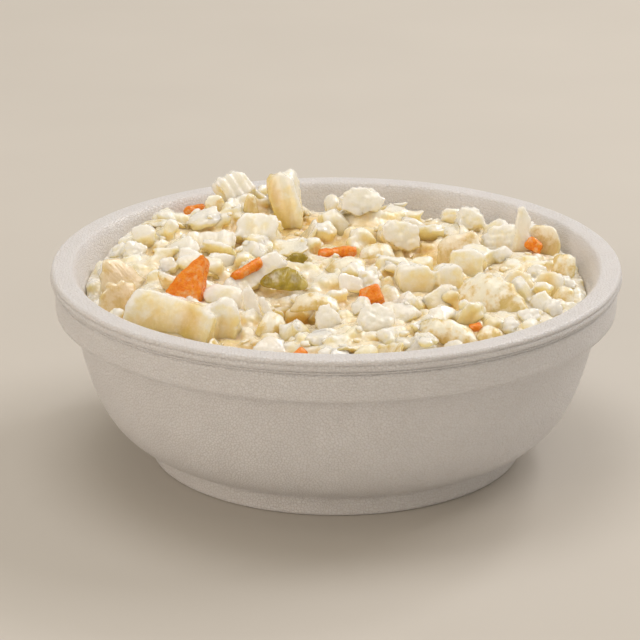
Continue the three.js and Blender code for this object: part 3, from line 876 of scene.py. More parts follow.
def chopped_piece(index, draw):
    """A loose die, slab, leaf or shred, by its share of the mix."""
    x, y = spiral_place(index, CHOPPED_COUNT, CHOPPED_FIELD_RADIUS, draw)
    share = draw(0, 1)
    kind = next(kind for kind in CHOPPED_MIX if share <= kind["up_to"])
    across = draw(*kind["across"])
    piece = dict(form=kind["form"], x=x, y=y, across=across)
    piece["up"] = across * draw(*kind["ratio"])
    piece["thick"] = kind["thick"] * draw(0.8, 1.2)
    turn_loose(piece, draw, CHOPPED_LEANS)
    piece["taper"] = draw(0, 0.35)
    piece["corners"] = [draw(0.78, 1.12) for _ in range(4)]
    piece["turned"] = 1 if draw(0, 1) > 0.5 else -1
    piece["z"] = core_height(x, y) + draw(0.5, 1.7)
    piece["finish"] = "leaf" if kind["form"] in THIN_FORMS else "rib"
    return piece


def crumb(index, draw):
    """A loose lump of crumbs."""
    x, y = spiral_place(index, CRUMB_COUNT, CRUMB_FIELD_RADIUS, draw)
    across = draw(3.2, 5.8)
    z = core_height(x, y) + draw(0.9, 2.1)
    up = across * draw(0.7, 0.95)
    thick = across * draw(0.6, 0.85)
    piece = dict(form="crumb", finish="crumb", x=x, y=y, z=z, across=across, up=up, thick=thick)
    turn_loose(piece, draw, CRUMB_LEANS)
    return piece


def clear_of_shown(piece, shown):
    """A loose piece keeps off the ground just in front of each chosen one."""
    for other in shown:
        toward = math.radians(other["toward"])
        ahead = AHEAD_OF_SHOWN * other["up"]
        apart = CLEAR_BY_OWN_WIDTH * piece["across"] + CLEAR_BY_SHOWN_HEIGHT * other["up"]
        for share in (-END_OF_SHOWN, 0, END_OF_SHOWN):
            aside = share * other["across"]
            x = other["x"] + ahead * math.cos(toward) - aside * math.sin(toward)
            y = other["y"] + ahead * math.sin(toward) + aside * math.cos(toward)
            if math.hypot(piece["x"] - x, piece["y"] - y) <= apart:
                return False
    return True


def all_pieces():
    """The large pieces, the loose ones that stay clear of them, and the small ones."""
    draw = repeatable_draws(SEED)
    shown = large_pieces(draw)
    chopped = [chopped_piece(i, draw) for i in range(CHOPPED_COUNT)]
    crumbs = [crumb(i, draw) for i in range(CRUMB_COUNT)]
    loose = [piece for piece in chopped + crumbs if clear_of_shown(piece, shown)]
    return fitted(shown + loose + small_pieces())


# ------------------------------------------------------------------ the heap's real things

SHOWN_SPACING = 0.62
LOOSE_SPACING = 0.85
CORE_TURNS = 150
CORE_SIDE_ROWS = 14
CORE_TOP_ROWS = 80
MASS_GAP = 0.1
DRESSING_VOXEL = 0.42
DRESSING_SOFTENING = 8
DRESSING_TRIANGLES = 188000
CHUNK_VOXEL = 0.43
CHUNK_SOFTENING = 2
CHUNK_CUTS = 5
LAYER_PITCH = 1.5
LEAF_FOLD_PITCH = 2.4
SIDE_VEIN_PITCH = 3.2

# How high a thin piece's ruffles, how clear its veins and how torn its edge is.
LEAF_RELIEF = {
    "loose": (1, 1.0, 0.3),
    "shown": (0.6, 1.0, 0.18),
    "green": (0.15, 1.0, 0.05),
    "glassy": (0.4, 0.35, 0.34),
    "half_glassy": (0.4, 0.35, 0.14),
}

# Small bits: the fines under the dressing's skin, and the grains that lie on it.
FINES = dict(count=1300, field_radius=52, sizes=(2.0, 4.8), sunk=0.56, clumps=None)
GRAINS = dict(count=420, field_radius=50.5, sizes=(0.9, 1.9), sunk=0.36, clumps=6.0)
ABOVE_ALL = 70
BIT_CUTS = 2
BIT_TURN = 6.28
BIT_TILT = 1.1
BIT_ROUNDNESS = 3.2
KEEP_OFF_CHUNKS = 0.85
CLEAR_OF_CHUNKS = 0.5

# The heap's top as a grid of 1 mm squares, from -GRID_HALF to GRID_HALF, smoothed widely and a
# little to tell how deep each point lies, for the painted shade in the hollows and the painted
# light on top.
GRID_HALF = 56
WIDE_PASSES = 30
NEAR_PASSES = 3
BROAD_TONES = 0.5


def shaped_cube(piece, spacing, edge_radius):
    """The piece as a closed block with rounded edges and corners, in its own axes."""
    bm = bmesh.new()
    bmesh.ops.create_cube(bm, size=2)
    half = half_size(piece)
    for axis in range(3):
        along = [e for e in bm.edges if abs((e.verts[0].co - e.verts[1].co)[axis]) > 1e-6]
        cuts = max(1, round(2 * half[axis] / spacing) - 1)
        bmesh.ops.subdivide_edges(bm, edges=along, cuts=cuts, use_grid_fill=True)
    radius = min(edge_radius, 0.9 * min(half))
    for vert in bm.verts:
        spot = vert.co * half
        inner = Vector(max(-half[k] + radius, min(half[k] - radius, spot[k])) for k in range(3))
        spot = inner + (spot - inner).normalized() * radius
        vert.co = Vector(spot[k] / half[k] for k in range(3))
    return bm


def corner_share(u, v, fullness):
    """How far a point of a square moves in, so that the square's corners round off."""
    most = max(abs(u), abs(v))
    if most < 1e-6:
        return 1.0
    return (abs(u / most) ** fullness + abs(v / most) ** fullness) ** (-1 / fullness)


def grain_layers(bm):
    """New layers for each point's place in its own grain, and for its piece's tint."""
    return bm.verts.layers.float_vector.new("grain"), bm.verts.layers.float.new("tint")


def leaf_relief(piece):
    """The row of LEAF_RELIEF for a piece."""
    if piece["finish"] == "green":
        return LEAF_RELIEF["green"]
    if piece.get("glassy"):
        return LEAF_RELIEF["glassy" if piece["glassy"] == 1 else "half_glassy"]
    return LEAF_RELIEF["shown" if piece.get("shown") else "loose"]


def ruffled(piece, spot, u, v, w, offset):
    """A point of a thin piece with its ruffles, folds, veins and torn edge."""
    calm, veined, torn = leaf_relief(piece)
    flat = Vector((spot.x, spot.y, 0))
    ruffle = noise.noise(flat / 3.6 + offset)
    ragged = noise.noise(flat / (2.6 if piece.get("glassy") else 1.6) + offset * 2)
    edge = max(abs(u), abs(v)) ** 3
    bend = 2.2 * noise.noise(flat / 5 + offset)
    fold = math.cos(spot.x * 2 * math.pi / LEAF_FOLD_PITCH + bend)
    spot.z += (0.4 + 0.3 * edge) * ruffle * calm + 0.05 * fold * veined
    if w > 0:
        slant = spot.y - 0.8 * abs(spot.x)
        side_veins = max(0.0, math.cos(slant * 2 * math.pi / SIDE_VEIN_PITCH)) ** 6
        spot.z += (0.16 * math.exp(-((spot.x / 0.5) ** 2)) + 0.07 * side_veins) * veined
    spot.xy *= 1 + torn * edge * ragged
    return spot


def piece_mesh(piece, index):
    """A leaf or a carrot bit with its torn edges and layers, at its place in the heap."""
    thin = piece["form"] in THIN_FORMS
    spacing = SHOWN_SPACING if piece.get("shown") else LOOSE_SPACING
    cut = piece["finish"] == "carrot"
    edge_radius = min(0.5 * piece["thick"], 0.4 if cut else 0.9)
    fullness = piece.get("outline", 12.0 if cut else 4.5)
    offset = own_offset(index, PIECE_STEPS)
    bm = shaped_cube(piece, spacing, edge_radius)
    grain, tint = grain_layers(bm)
    piece_tint = piece.get("glassy") or 0.3 + 0.4 * noise.noise(offset * 1.7)
    for vert in bm.verts:
        u, v, w = vert.co
        share = corner_share(u, v, fullness)
        u, v = u * share, v * share
        if thin:
            w *= 1 - 0.5 * max(abs(u), abs(v)) ** 3
        spot = bent(piece, u, v, w)
        if thin:
            spot = ruffled(piece, spot, u, v, w, offset)
        vert.co = spot
        vert[grain] = (spot + offset) * MM
        vert[tint] = piece_tint
    roughen_piece(bm, piece, offset)
    bmesh.ops.transform(bm, matrix=piece_matrix(piece), verts=bm.verts)
    return bm


def layer_depth(place):
    """How deep a side is cut between its layers, by its place in layers: 0 to 1."""
    return (0.5 + 0.5 * math.cos(2 * math.pi * place)) ** 3


def roughen_piece(bm, piece, offset):
    """Torn and layered side faces, and broad faces that are only a little uneven."""
    bm.normal_update()
    thin = piece["form"] in THIN_FORMS
    layered = piece["form"] in ("dice", "slab") and piece["finish"] != "carrot"
    moved = []
    for vert in bm.verts:
        spot = vert.co + offset
        side = 1 - abs(vert.normal.z) ** 2
        broad = 0.42 * noise.noise(spot / 3.4)
        middle = (0.07 + 0.14 * side) * noise.noise(spot / 1.3)
        small = (0.015 + 0.05 * side) * noise.noise(spot / 0.6)
        if thin:
            broad, middle = 0.3 * broad, 0.5 * middle
        push = broad + middle + small
        if piece["finish"] == "carrot":
            push += 0.3 * (lumps(spot, 1.3) - 0.45)
        if layered:
            wave = vert.co.z / LAYER_PITCH + 0.5 * noise.noise(spot / 4) + offset.x
            push -= 0.3 * side * layer_depth(wave)
        moved.append(vert.normal * push)
    for vert, move in zip(bm.verts, moved):
        vert.co += move


def shown_fullness(piece):
    """How full the corners of a large or small piece are: 2 is round, and more is squarer."""
    if piece["ribbed"]:
        return 14
    if piece["crumbly"]:
        return 2.5
    return 4.2 if "gold" in piece else 6


def cut_cube(cuts):
    bm = bmesh.new()
    bmesh.ops.create_cube(bm, size=2)
    bmesh.ops.subdivide_edges(bm, edges=bm.edges, cuts=cuts, use_grid_fill=True)
    return bm


def chunk_mesh(piece, index, draw):
    """A thick chopped piece before its skin is made: a bent block with sliced corners."""
    shown, ribbed = piece.get("shown", False), piece.get("ribbed", False)
    amount = 0.07 if ribbed else 0.34 if shown else 0.5
    slices = 0 if ribbed else 2 if shown else 4
    offset = own_offset(index, PIECE_STEPS)
    bm = cut_cube(CHUNK_CUTS)
    half = half_size(piece)
    fullness = draw(2.3, 4.5)
    if shown:
        fullness = shown_fullness(piece)
    for vert in bm.verts:
        u, v, w = vert.co
        share = corner_share(u, v, fullness)
        spot = bent(piece, u * share, v * share, w)
        if ribbed:
            spot.z += 1.1 * math.exp(-(((u - 0.86) / 0.14) ** 2)) * (0.6 + 0.4 * w)
        field = vert.co * 1.1
        warp = Vector((noise.noise(field + offset), noise.noise(field - offset), 0))
        vert.co = spot + Vector(warp[k] * amount * half[k] for k in range(3))
    for _ in range(slices):
        corner = Vector((draw(-1, 1), draw(-1, 1), draw(-1, 0.3 if shown else 1)))
        corner = Vector((1 if c > 0 else -1) for c in corner)
        keep = draw(1.4, 1.9) if shown else draw(1.1, 1.6)
        normal = Vector(corner[k] * draw(0.5, 1.5) / half[k] for k in range(3)).normalized()
        through = Vector(corner[k] * half[k] * keep / 2.4 for k in range(3))
        slice_off(bm, through, normal)
    bmesh.ops.transform(bm, matrix=piece_matrix(piece), verts=bm.verts)
    return bm


def slice_off(bm, through, normal):
    """Cuts off what lies beyond a plane, and closes the cut."""
    cut = bmesh.ops.bisect_plane(
        bm,
        geom=bm.verts[:] + bm.edges[:] + bm.faces[:],
        plane_co=through,
        plane_no=normal,
        clear_outer=True,
    )
    edges = [item for item in cut["geom_cut"] if isinstance(item, bmesh.types.BMEdge)]
    if edges:
        bmesh.ops.contextual_create(bm, geom=edges)
    bmesh.ops.recalc_face_normals(bm, faces=bm.faces)


def chunk_relief(own, number, spot, local, normal, facing):
    """How far a point of a chunk stands out: torn on top, layered on its sides."""
    torn = (1 - facing) * min(1.0, max(0.0, 1.5 * normal.z - 0.3))
    torn = 1.2 if own.get("crumbly") else torn
    push = 0.3 * noise.noise(spot / 3.0) + 0.1 * noise.noise(spot / 1.1)
    push += 0.04 * noise.noise(spot / 0.5)
    push += torn * (0.26 - 0.62 * lumps(spot, 1.35) + 0.08 * noise.noise(spot / 0.6))
    wave = local.z / LAYER_PITCH + 0.5 * noise.noise(spot / 4) + number * 0.37
    push -= 0.24 * (1 - facing) * layer_depth(wave)
    if "ridges" in own:
        pitch, height = own["ridges"]
        push += height * math.cos(2 * math.pi * local.x / pitch)
    return push


def rough_chunks(piece, pieces, home):
    """Gives the chunks' skin its relief, and each point the grain of the piece it lies on.

    Gives back, for each point, how golden its piece's band of painted shade makes it and how much
    whiter its piece is.
    """
    mesh = piece.data
    points, normals = mesh_points(mesh), mesh_values(mesh, "normal")
    surface, owners = home
    grains = np.zeros_like(points)
    gold, whiter = np.zeros(len(points)), np.zeros(len(points))
    for index in range(len(points)):
        spot, normal = Vector(points[index]), Vector(normals[index])
        _, _, face, _ = surface.find_nearest(spot)
        number = owners[face]
        own, matrix = pieces[number]
        local = matrix @ spot
        facing = abs((matrix.to_3x3() @ normal).z)
        loose_extra = 0.2 + 0.5 * noise.noise(Vector((number * 0.7, 1.3, 2.9)))
        whiter[index] = own.get("whiter", loose_extra)
        # Painted shade in a golden band down the piece's side, partly the cut's own tone.
        if "gold" in own:
            middle, width, share = own["gold"]
            across = 2 * local.x / own["across"]
            gold[index] = share * math.exp(-(((across - middle) / width) ** 2))
        points[index] += normals[index] * chunk_relief(own, number, spot, local, normal, facing)
        grains[index] = local + own_offset(number, CHUNK_GRAIN_STEPS)
    move_points(mesh, points)
    layer = mesh.attributes.new("grain", "FLOAT_VECTOR", "POINT")
    layer.data.foreach_set("vector", (grains * MM).astype(np.float32).ravel())
    return gold, whiter


def lumps(spot, width):
    """How far a point lies from the middle of its lump, in a close but uneven packing."""
    swayed = spot + 0.5 * width * noise.noise_vector(spot / width * 0.7)
    return noise.voronoi(swayed / width)[0][0]


def crumb_mesh(piece, index):
    """A lump of fine crumbs held together by dressing."""
    bm = bmesh.new()
    bmesh.ops.create_icosphere(bm, subdivisions=3, radius=1)
    half = half_size(piece)
    offset = own_offset(index, CRUMB_STEPS)
    for vert in bm.verts:
        knobs = noise.voronoi((vert.co * half.x + offset) / 1.5)[0][0]
        vert.co *= 1.12 - 0.36 * knobs + 0.1 * noise.noise(vert.co * 1.6 + offset)
        vert.co = vert.co * half
    bmesh.ops.transform(bm, matrix=piece_matrix(piece), verts=bm.verts)
    return bm


def join_into(target, bm):
    """Adds a mesh to another one, and frees it."""
    mesh = bpy.data.meshes.new("joining")
    bm.to_mesh(mesh)
    target.from_mesh(mesh)
    bpy.data.meshes.remove(mesh)
    bm.free()


def mass_radius(z):
    """How far out the mass reaches in the finished bowl: for one height or many."""
    heights, radii = zip(*FINISHED_WALL)
    return np.minimum(np.interp(z, heights, radii), SHOULDER_RADIUS) - MASS_GAP


def core_edge(turn):
    """Where the mass's top meets the wall: its radius and height."""
    radius, z = SHOULDER_RADIUS, CORE_LEVEL
    for _ in range(3):
        z = core_height(radius * math.cos(turn), radius * math.sin(turn))
        radius = min(inside_radius(z), SHOULDER_RADIUS) - MASS_GAP
    return radius, z


def core_mesh():
    """The dressed mass under the pieces: it fills the bowl up to the mounds' surface."""
    bottom_radius = FOOT_INNER - 1.5
    bottom = FLOOR_TOP + DISH_GAP
    last = 1 + CORE_SIDE_ROWS + CORE_TOP_ROWS
    template = [(0 if row in (0, last) else 1, row) for row in range(last + 1)]
    bm = spun_profile(template, CORE_TURNS)
    for vert in bm.verts:
        row = round(vert.co.z)
        turn = math.atan2(vert.co.y, vert.co.x)
        radius, z = 0.0, bottom
        if row > 0:
            edge_radius, edge_z = core_edge(turn)
            side = (row - 1) / CORE_SIDE_ROWS
            if side <= 1:
                z = bottom + side * (edge_z - bottom)
                radius = bottom_radius if row == 1 else mass_radius(z)
            else:
                radius = edge_radius * (last - row) / CORE_TOP_ROWS
                z = core_height(radius * math.cos(turn), radius * math.sin(turn))
        vert.co = (radius * math.cos(turn), radius * math.sin(turn), z)
    bmesh.ops.recalc_face_normals(bm, faces=bm.faces)
    return bm


# A nugget, a flake and a sliver: up to which share, size in shares of the bit's, and bend.
BIT_FORMS = (
    dict(up_to=0.66, size=(1.1, 0.9, 0.75), bend=0.0),
    dict(up_to=0.84, size=(1.35, 1.05, 0.5), bend=0.08),
    dict(up_to=1, size=(1.8, 0.6, 0.55), bend=0.2),
)


def bit_mesh(size, draw, offset):
    """One small chopped bit: an uneven nugget, a flake or a sliver, soft at its edges."""
    share = draw(0, 1)
    form = next(form for form in BIT_FORMS if share <= form["up_to"])
    bm = cut_cube(BIT_CUTS)
    half = Vector(size * draw(0.75, 1.2) * side / 2 for side in form["size"])
    shear = Matrix(((1, draw(-0.3, 0.3), 0), (0, 1, draw(-0.25, 0.25)), (0, 0, 1)))
    for vert in bm.verts:
        length = sum(abs(c) ** BIT_ROUNDNESS for c in vert.co) ** (1 / BIT_ROUNDNESS)
        spot = vert.co / length * (1 + 0.3 * noise.noise(vert.co * 1.3 + offset))
        lift = form["bend"] * size * (spot.x * spot.x - 0.4)
        spot = spot * half
        spot.z += lift
        vert.co = shear @ spot
    return bm


def golden_share(points):
    """How golden each point is for lying in one of the named hollows, which are deepened and
    painted with golden shade.
    """
    share = np.zeros(len(points))
    for x, y, radius, amount in GOLDEN_HOLLOWS:
        away = np.hypot(points[:, 0] - x, points[:, 1] - y) / radius
        share += amount * np.exp(-(away**2))
    return share * np.clip((40 - points[:, 2]) / 3, 0, 1)


def in_bare_hollow(x, y):
    """Whether a place lies in a hollow that stays free of loose pieces."""
    return any(
        amount > BARE_HOLLOW and math.hypot(x - middle_x, y - middle_y) < radius
        for middle_x, middle_y, radius, amount in GOLDEN_HOLLOWS
    )


def hides_shown(point, clearance, foot, shown):
    """Whether a small bit there would lie on the face of one of the chosen pieces."""
    for piece, into in shown:
        spot = into @ point
        u, v = spot.x / (piece["across"] / 2), spot.y / (piece["up"] / 2)
        over = piece["thick"] / 2 + clearance
        if abs(u) < 1.15 and foot < v < 1.3 and -over < spot.z < over:
            return True
    return False


def near_chunks(point, chance, chunks):
    """Whether a bit there would lie on a cut piece, for the bits that keep off them."""
    if chunks is None or chance >= KEEP_OFF_CHUNKS:
        return False
    return chunks.find_nearest(point, CLEAR_OF_CHUNKS)[3] is not None


def outside_room(point, size):
    """Whether a bit of that size would reach into the wall or the free space."""
    reach = math.hypot(point.x, point.y) + size * 0.45
    return reach > room_radius(point.z) or in_free_corner(point, 1)


def scattered_bits(ground, kind, draw, shown, chunks=None):
    """Small bits lying on the ground mesh, turned every way, joined as one mesh."""
    most = room_radius(CORE_LEVEL + 1)
    clumps = kind["clumps"]
    joined = bmesh.new()
    grain_layers(joined)
    down = Vector((0, 0, -1))
    for index in range(kind["count"]):
        x, y = spiral_place(index, kind["count"], kind["field_radius"], draw)
        size = draw(*kind["sizes"])
        turns = Matrix.Rotation(draw(0, BIT_TURN), 3, "Z")
        turns = turns @ Matrix.Rotation(draw(-BIT_TILT, BIT_TILT), 3, "X")
        chance = draw(0, 1)
        if clumps and noise.noise(Vector((x, y, 3.3)) / clumps) < chance * 0.9 - 0.35:
            continue
        inward = min(1.0, (most - 0.55 * size) / max(1.0, math.hypot(x, y)))
        x, y = x * inward, y * inward
        hit, normal, _, _ = ground.ray_cast(Vector((x, y, ABOVE_ALL)), down)
        if hit is None or near_chunks(hit, chance, chunks):
            continue
        offset = own_offset(index, BIT_STEPS)
        place = Matrix.Translation(hit + normal * size * (0.5 - kind["sunk"]) * 0.6)
        if hides_shown(place.translation, 0.7 * size + 0.4, -0.95, shown) or in_bare_hollow(x, y):
            continue
        if outside_room(place.translation, size):
            continue
        bit = bit_mesh(size, draw, offset)
        grain, tint = grain_layers(bit)
        for vert in bit.verts:
            vert[grain] = (vert.co + offset) * MM
            vert[tint] = chance
        bmesh.ops.transform(bit, matrix=place @ turns.to_4x4(), verts=bit.verts)
        join_into(joined, bit)
    return joined


def mesh_in_millimetres(mesh):
    bm = bmesh.new()
    bm.from_mesh(mesh)
    bmesh.ops.scale(bm, vec=(1 / MM,) * 3, verts=bm.verts)
    return bm


def fuse(piece, voxel, passes):
    """Melts overlapping closed bodies into one skin."""
    remesh = piece.modifiers.new("fuse", "REMESH")
    remesh.mode = "VOXEL"
    remesh.voxel_size = voxel * MM
    remesh.use_smooth_shade = True
    soften = piece.modifiers.new("soften", "SMOOTH")
    soften.factor = 0.5
    soften.iterations = passes
    apply_modifiers(piece)


def thin_out(piece, triangles):
    """Fewer triangles, mostly where the skin is smooth."""
    piece.data.calc_loop_triangles()
    share = triangles / max(1, len(piece.data.loop_triangles))
    if share < 1:
        decimate = piece.modifiers.new("thin", "DECIMATE")
        decimate.ratio = share
        decimate.use_collapse_triangulate = True
        apply_modifiers(piece)


def neighbour_mean(field, passes):
    """Smooths a grid: each square becomes the mean of itself and its four neighbours."""
    for _ in range(passes):
        padded = np.pad(field, 1, mode="edge")
        field = (
            padded[:-2, 1:-1] + padded[2:, 1:-1] + padded[1:-1, :-2] + padded[1:-1, 2:] + field
        ) / 5
    return field


def mesh_values(mesh, name):
    """The "co" or the "normal" of the mesh's points, a row for each."""
    flat = np.empty(len(mesh.vertices) * 3, np.float32)
    mesh.vertices.foreach_get(name, flat)
    return flat.reshape(-1, 3).astype(float)


def mesh_points(mesh):
    return mesh_values(mesh, "co") / MM


def move_points(mesh, points):
    mesh.vertices.foreach_set("co", (points * MM).astype(np.float32).ravel())
    mesh.update()


def near_shown(points, shown):
    """Which points lie on the faces of the chosen pieces, above their feet."""
    near = np.zeros(len(points), bool)
    for piece, into in shown:
        local = points @ np.array(into.to_3x3()).T + np.array(into.translation)
        u = np.abs(local[:, 0]) / (piece["across"] / 2)
        v = local[:, 1] / (piece["up"] / 2)
        w = np.abs(local[:, 2]) / (piece["thick"] / 2 + 0.9)
        near |= (u < 1.12) & (v > -0.8) & (v < 1.15) & (w < 1)
    return near


def uneven_coat(piece, shown, chunks):
    """The dressing lies thick and thin over the mass, and shows the crumbs under it."""
    mesh = piece.data
    points, normals = mesh_points(mesh), mesh_values(mesh, "normal")
    bare = near_shown(points, shown)
    dip = golden_share(points)
    for index in np.flatnonzero(points[:, 2] > CORE_LEVEL - 3):
        spot = Vector(points[index])
        crumbly = noise.noise(spot / 6.5 + Vector((3, 1, 7)))
        crumbly = min(1.0, max(0.25, 0.45 + 1.6 * crumbly))
        push = 0.5 * noise.noise(spot / 4.6) + 0.05 * noise.noise(spot / 1.2) - 0.05
        push += 0.34 - 0.5 * lumps(spot, 3.4)
        push += (0.16 - 0.4 * lumps(spot, 1.5)) * crumbly
        away = chunks.find_nearest(spot, 0.6)[3]
        if bare[index]:
            push = -0.5
        elif away is not None:
            share = min(1.0, max(0.0, (away - 0.12) / 0.4))
            push = share * push - (1 - share) * 0.45
        points[index] += normals[index] * (push - 0.7 * dip[index])
    radii = np.hypot(points[:, 0], points[:, 1])
    inward = np.minimum(1, mass_radius(points[:, 2]) / np.maximum(radii, 1e-6))
    points[:, :2] *= inward[:, None]
    move_points(mesh, points)


def height_field(points):
    """The heap's top on the grid, smoothed over widely and a little."""
    field = np.full((2 * GRID_HALF, 2 * GRID_HALF), CORE_LEVEL)
    column = grid_columns(points)
    np.maximum.at(field, (column[:, 0], column[:, 1]), points[:, 2])
    return neighbour_mean(field, WIDE_PASSES), neighbour_mean(field, NEAR_PASSES)


def grid_columns(points):
    return np.clip((points[:, :2] + GRID_HALF).astype(int), 0, 2 * GRID_HALF - 1)


def store_painted_light_and_shade(piece, tops, gold=0.0, whiter=0.0):
    """Keeps, at each point, painted shade from how deep it lies in the heap and painted light from
    how far it faces up.
    """
    mesh = piece.data
    points = mesh_points(mesh)
    column = grid_columns(points)
    wide, near = (field[column[:, 0], column[:, 1]] for field in tops)
    depth = wide - BROAD_TONES * near - (1 - BROAD_TONES) * points[:, 2]
    upward = mesh_values(mesh, "normal")[:, 2]
    # Painted shade, partly pooled dressing: golden deeper in the heap, in the golden bands and in
    # the named hollows.
    gold = gold + 0.8 * golden_share(points)
    hollow = np.clip(np.clip((depth + 0.5) / 3.4, 0, 1) ** 1.2 + gold, 0, 1)
    # Painted light: whiter where a point faces up, darker deeper in the heap, and whiter on whiter
    # pieces.
    top = np.clip(0.15 + 0.85 * upward - 0.12 * depth + whiter, 0, 1)
    for name, values in (("hollow", hollow), ("top", top)):
        layer = mesh.attributes.new(name, "FLOAT", "POINT")
        layer.data.foreach_set("value", values.astype(np.float32))


def out_of_sight(piece, shown):
    """Whether a loose leaf or lump is left out, as it would lie over a piece that shows."""
    reach = (0.5 if piece["finish"] == "crumb" else 0.25) * piece["across"]
    axes = piece_matrix(piece)
    ends = [axes @ Vector((share * piece["across"], 0, 0)) for share in (-0.4, 0, 0.4)]
    hides = any(hides_shown(end, reach + 0.6, -1.25, shown) for end in ends)
    return hides or in_bare_hollow(piece["x"], piece["y"])


def make_heap():
    """The dressed mass and, on it and in it, each kind of chopped thing."""
    veins = dict(tones=RIB_TONES, vein_mm=2.2, veined=0.14, smear_mm=4.2)
    finishes = {
        "rib": wet_cabbage_finish("cabbage_rib", wet=0.6, cream=0.0, smears=0.36, **veins),
        "leaf": wet_cabbage_finish(
            "cabbage_leaf", LEAF_TONES, 0.9, 0.7, 0.6, -0.1, 0.65, 2.8, glassy=0.62, inner_mm=1.6
        ),
        "green": green_leaf_finish(),
        "carrot": carrot_finish(),
        "grain": wet_cabbage_finish(
            "cabbage_grain", wet=0.5, cream=0.2, smears=0.3, inner_mm=0.5, **veins
        ),
    }
    kinds = {kind: bmesh.new() for kind in ("leaf", "green", "carrot")}
    for bm in kinds.values():
        grain_layers(bm)
    pieces = all_pieces()
    shown = [(piece, piece_matrix(piece).inverted()) for piece in pieces if piece.get("shown")]
    draw = repeatable_draws(BITS_SEED)
    mass = core_mesh()
    chunks, owners, own_axes = bmesh.new(), [], []
    for index, piece in enumerate(pieces):
        if piece["finish"] == "rib":
            chunk = chunk_mesh(piece, index, draw)
            bmesh.ops.triangulate(chunk, faces=chunk.faces)
            owners += [len(own_axes)] * len(chunk.faces)
            own_axes.append((piece, piece_matrix(piece).inverted()))
            join_into(chunks, chunk)
        elif "shown" not in piece and out_of_sight(piece, shown):
            continue
        elif piece["finish"] == "crumb":
            join_into(mass, crumb_mesh(piece, index))
        else:
            join_into(kinds[piece["finish"]], piece_mesh(piece, index))
    home = BVHTree.FromBMesh(chunks), owners
    ribs = finished_piece("cabbage_ribs", chunks, finishes["rib"])
    fuse(ribs, CHUNK_VOXEL, CHUNK_SOFTENING)
    chunk_skin = mesh_in_millimetres(ribs.data)
    chunk_tree = BVHTree.FromBMesh(chunk_skin)
    join_into(mass, chunk_skin)
    join_into(mass, scattered_bits(BVHTree.FromBMesh(mass), FINES, draw, shown, chunk_tree))
    dressing = finished_piece("coleslaw_dressing", mass, dressing_finish())
    fuse(dressing, DRESSING_VOXEL, DRESSING_SOFTENING)
    uneven_coat(dressing, shown, chunk_tree)
    thin_out(dressing, DRESSING_TRIANGLES)
    golden_sides_and_whiter = rough_chunks(ribs, own_axes, home)
    skin = mesh_in_millimetres(dressing.data)
    grains = scattered_bits(BVHTree.FromBMesh(skin), GRAINS, draw, shown)
    skin.free()
    tops = height_field(mesh_points(dressing.data))
    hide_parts("coleslaw")
    made = [(dressing, "dressed_cabbage"), (ribs, "dressed_cabbage")]
    for name, bm, kind, slot in (
        ("cabbage_leaves", kinds["leaf"], "leaf", "cabbage_leaf"),
        ("green_leaf_bits", kinds["green"], "green", "green_leaf"),
        ("carrot_bits", kinds["carrot"], "carrot", "carrot"),
        ("cabbage_grains", grains, "grain", "dressed_cabbage"),
    ):
        made.append((finished_piece(name, bm, finishes[kind]), slot))
    for piece, slot in made:
        store_painted_light_and_shade(piece, tops, *(golden_sides_and_whiter if piece is ribs else ()))
        piece.data.polygons.foreach_set("use_smooth", [True] * len(piece.data.polygons))
        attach(piece, "root")


# ------------------------------------------------------------------ the scene

CAMERA_DISTANCE = 0.620
CAMERA_ELEVATION = math.radians(19.94)
CAMERA_AIM_HEIGHT = 0.02756
CAMERA_YAW = 0.0057
CAMERA_LENS = 167.3


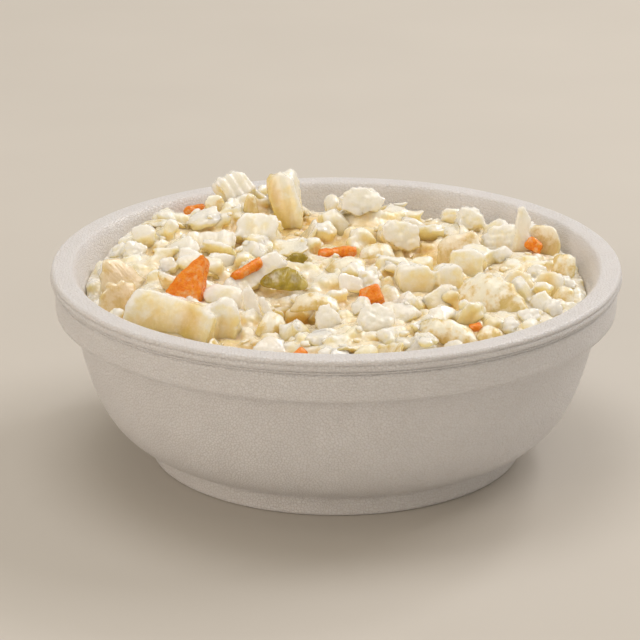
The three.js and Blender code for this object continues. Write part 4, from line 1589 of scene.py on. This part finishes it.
def make_floor():
    bm = bmesh.new()
    bmesh.ops.create_grid(bm, x_segments=1, y_segments=1, size=FLOOR_HALF_WIDTH)
    finish = Finish("pale_floor")
    cloud = finish.noise(60, detail=2)
    tone = finish.mix(cloud, colour(198, 193, 186), colour(204, 199, 192))
    finish.wire(Base_Color=tone, Roughness=0.6)
    floor = finished_piece("pale_floor", bm, finish.material, smooth=False)
    floor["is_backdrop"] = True


def make_camera():
    data = bpy.data.cameras.new("camera")
    data.sensor_width = 36
    data.lens = CAMERA_LENS
    data.clip_start = 0.05
    data.clip_end = 20
    camera = add_object("camera", data)
    camera.location = (
        0,
        -CAMERA_DISTANCE * math.cos(CAMERA_ELEVATION),
        CAMERA_AIM_HEIGHT + CAMERA_DISTANCE * math.sin(CAMERA_ELEVATION),
    )
    camera.rotation_euler = (math.pi / 2 - CAMERA_ELEVATION, 0, CAMERA_YAW)
    bpy.context.scene.camera = camera


# Round soft lights: name, place, width, power and tone.
LIGHTS = (
    ("key_light", (0.75, 0.45, 0.85), 0.6, 4.3, (1.0, 0.965, 0.95)),
    ("small_light", (0.45, 0.6, 0.7), 0.16, 1.3, (1.0, 0.98, 0.96)),
    ("fill_light", (-0.8, -0.8, 0.3), 0.9, 3.4, (1.0, 0.85, 0.68)),
    ("top_light", (-0.1, 0.15, 1.1), 0.6, 3.0, (1.0, 0.97, 0.95)),
)
LIGHTS_AIM = (0, 0, 0.03)
WORLD_TONE = (1.0, 0.91, 0.77, 1)
WORLD_STRENGTH = 0.54
FLOOR_HALF_WIDTH = 4000


def add_soft_light(name, place, size, power, tone):
    data = bpy.data.lights.new(name, "AREA")
    data.shape = "DISK"
    data.size = size
    data.energy = power
    data.color = tone
    light = add_object(name, data)
    light.location = place
    direction = Vector(LIGHTS_AIM) - Vector(place)
    light.rotation_euler = direction.to_track_quat("-Z", "Y").to_euler()


def make_light():
    for row in LIGHTS:
        add_soft_light(*row)
    world = bpy.data.worlds.new("studio")
    bpy.context.scene.world = world
    world.use_nodes = True
    background = world.node_tree.nodes["Background"]
    background.inputs["Color"].default_value = WORLD_TONE
    background.inputs["Strength"].default_value = WORLD_STRENGTH
    bpy.context.scene.view_settings.view_transform = "Standard"


make_camera()
make_light()
make_floor()
make_foam_bowl()
make_heap()

visual_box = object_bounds()
boxes = {"cad": cad_box, "visual": visual_box}
{name: [list(corner) for corner in box] for name, box in boxes.items()}
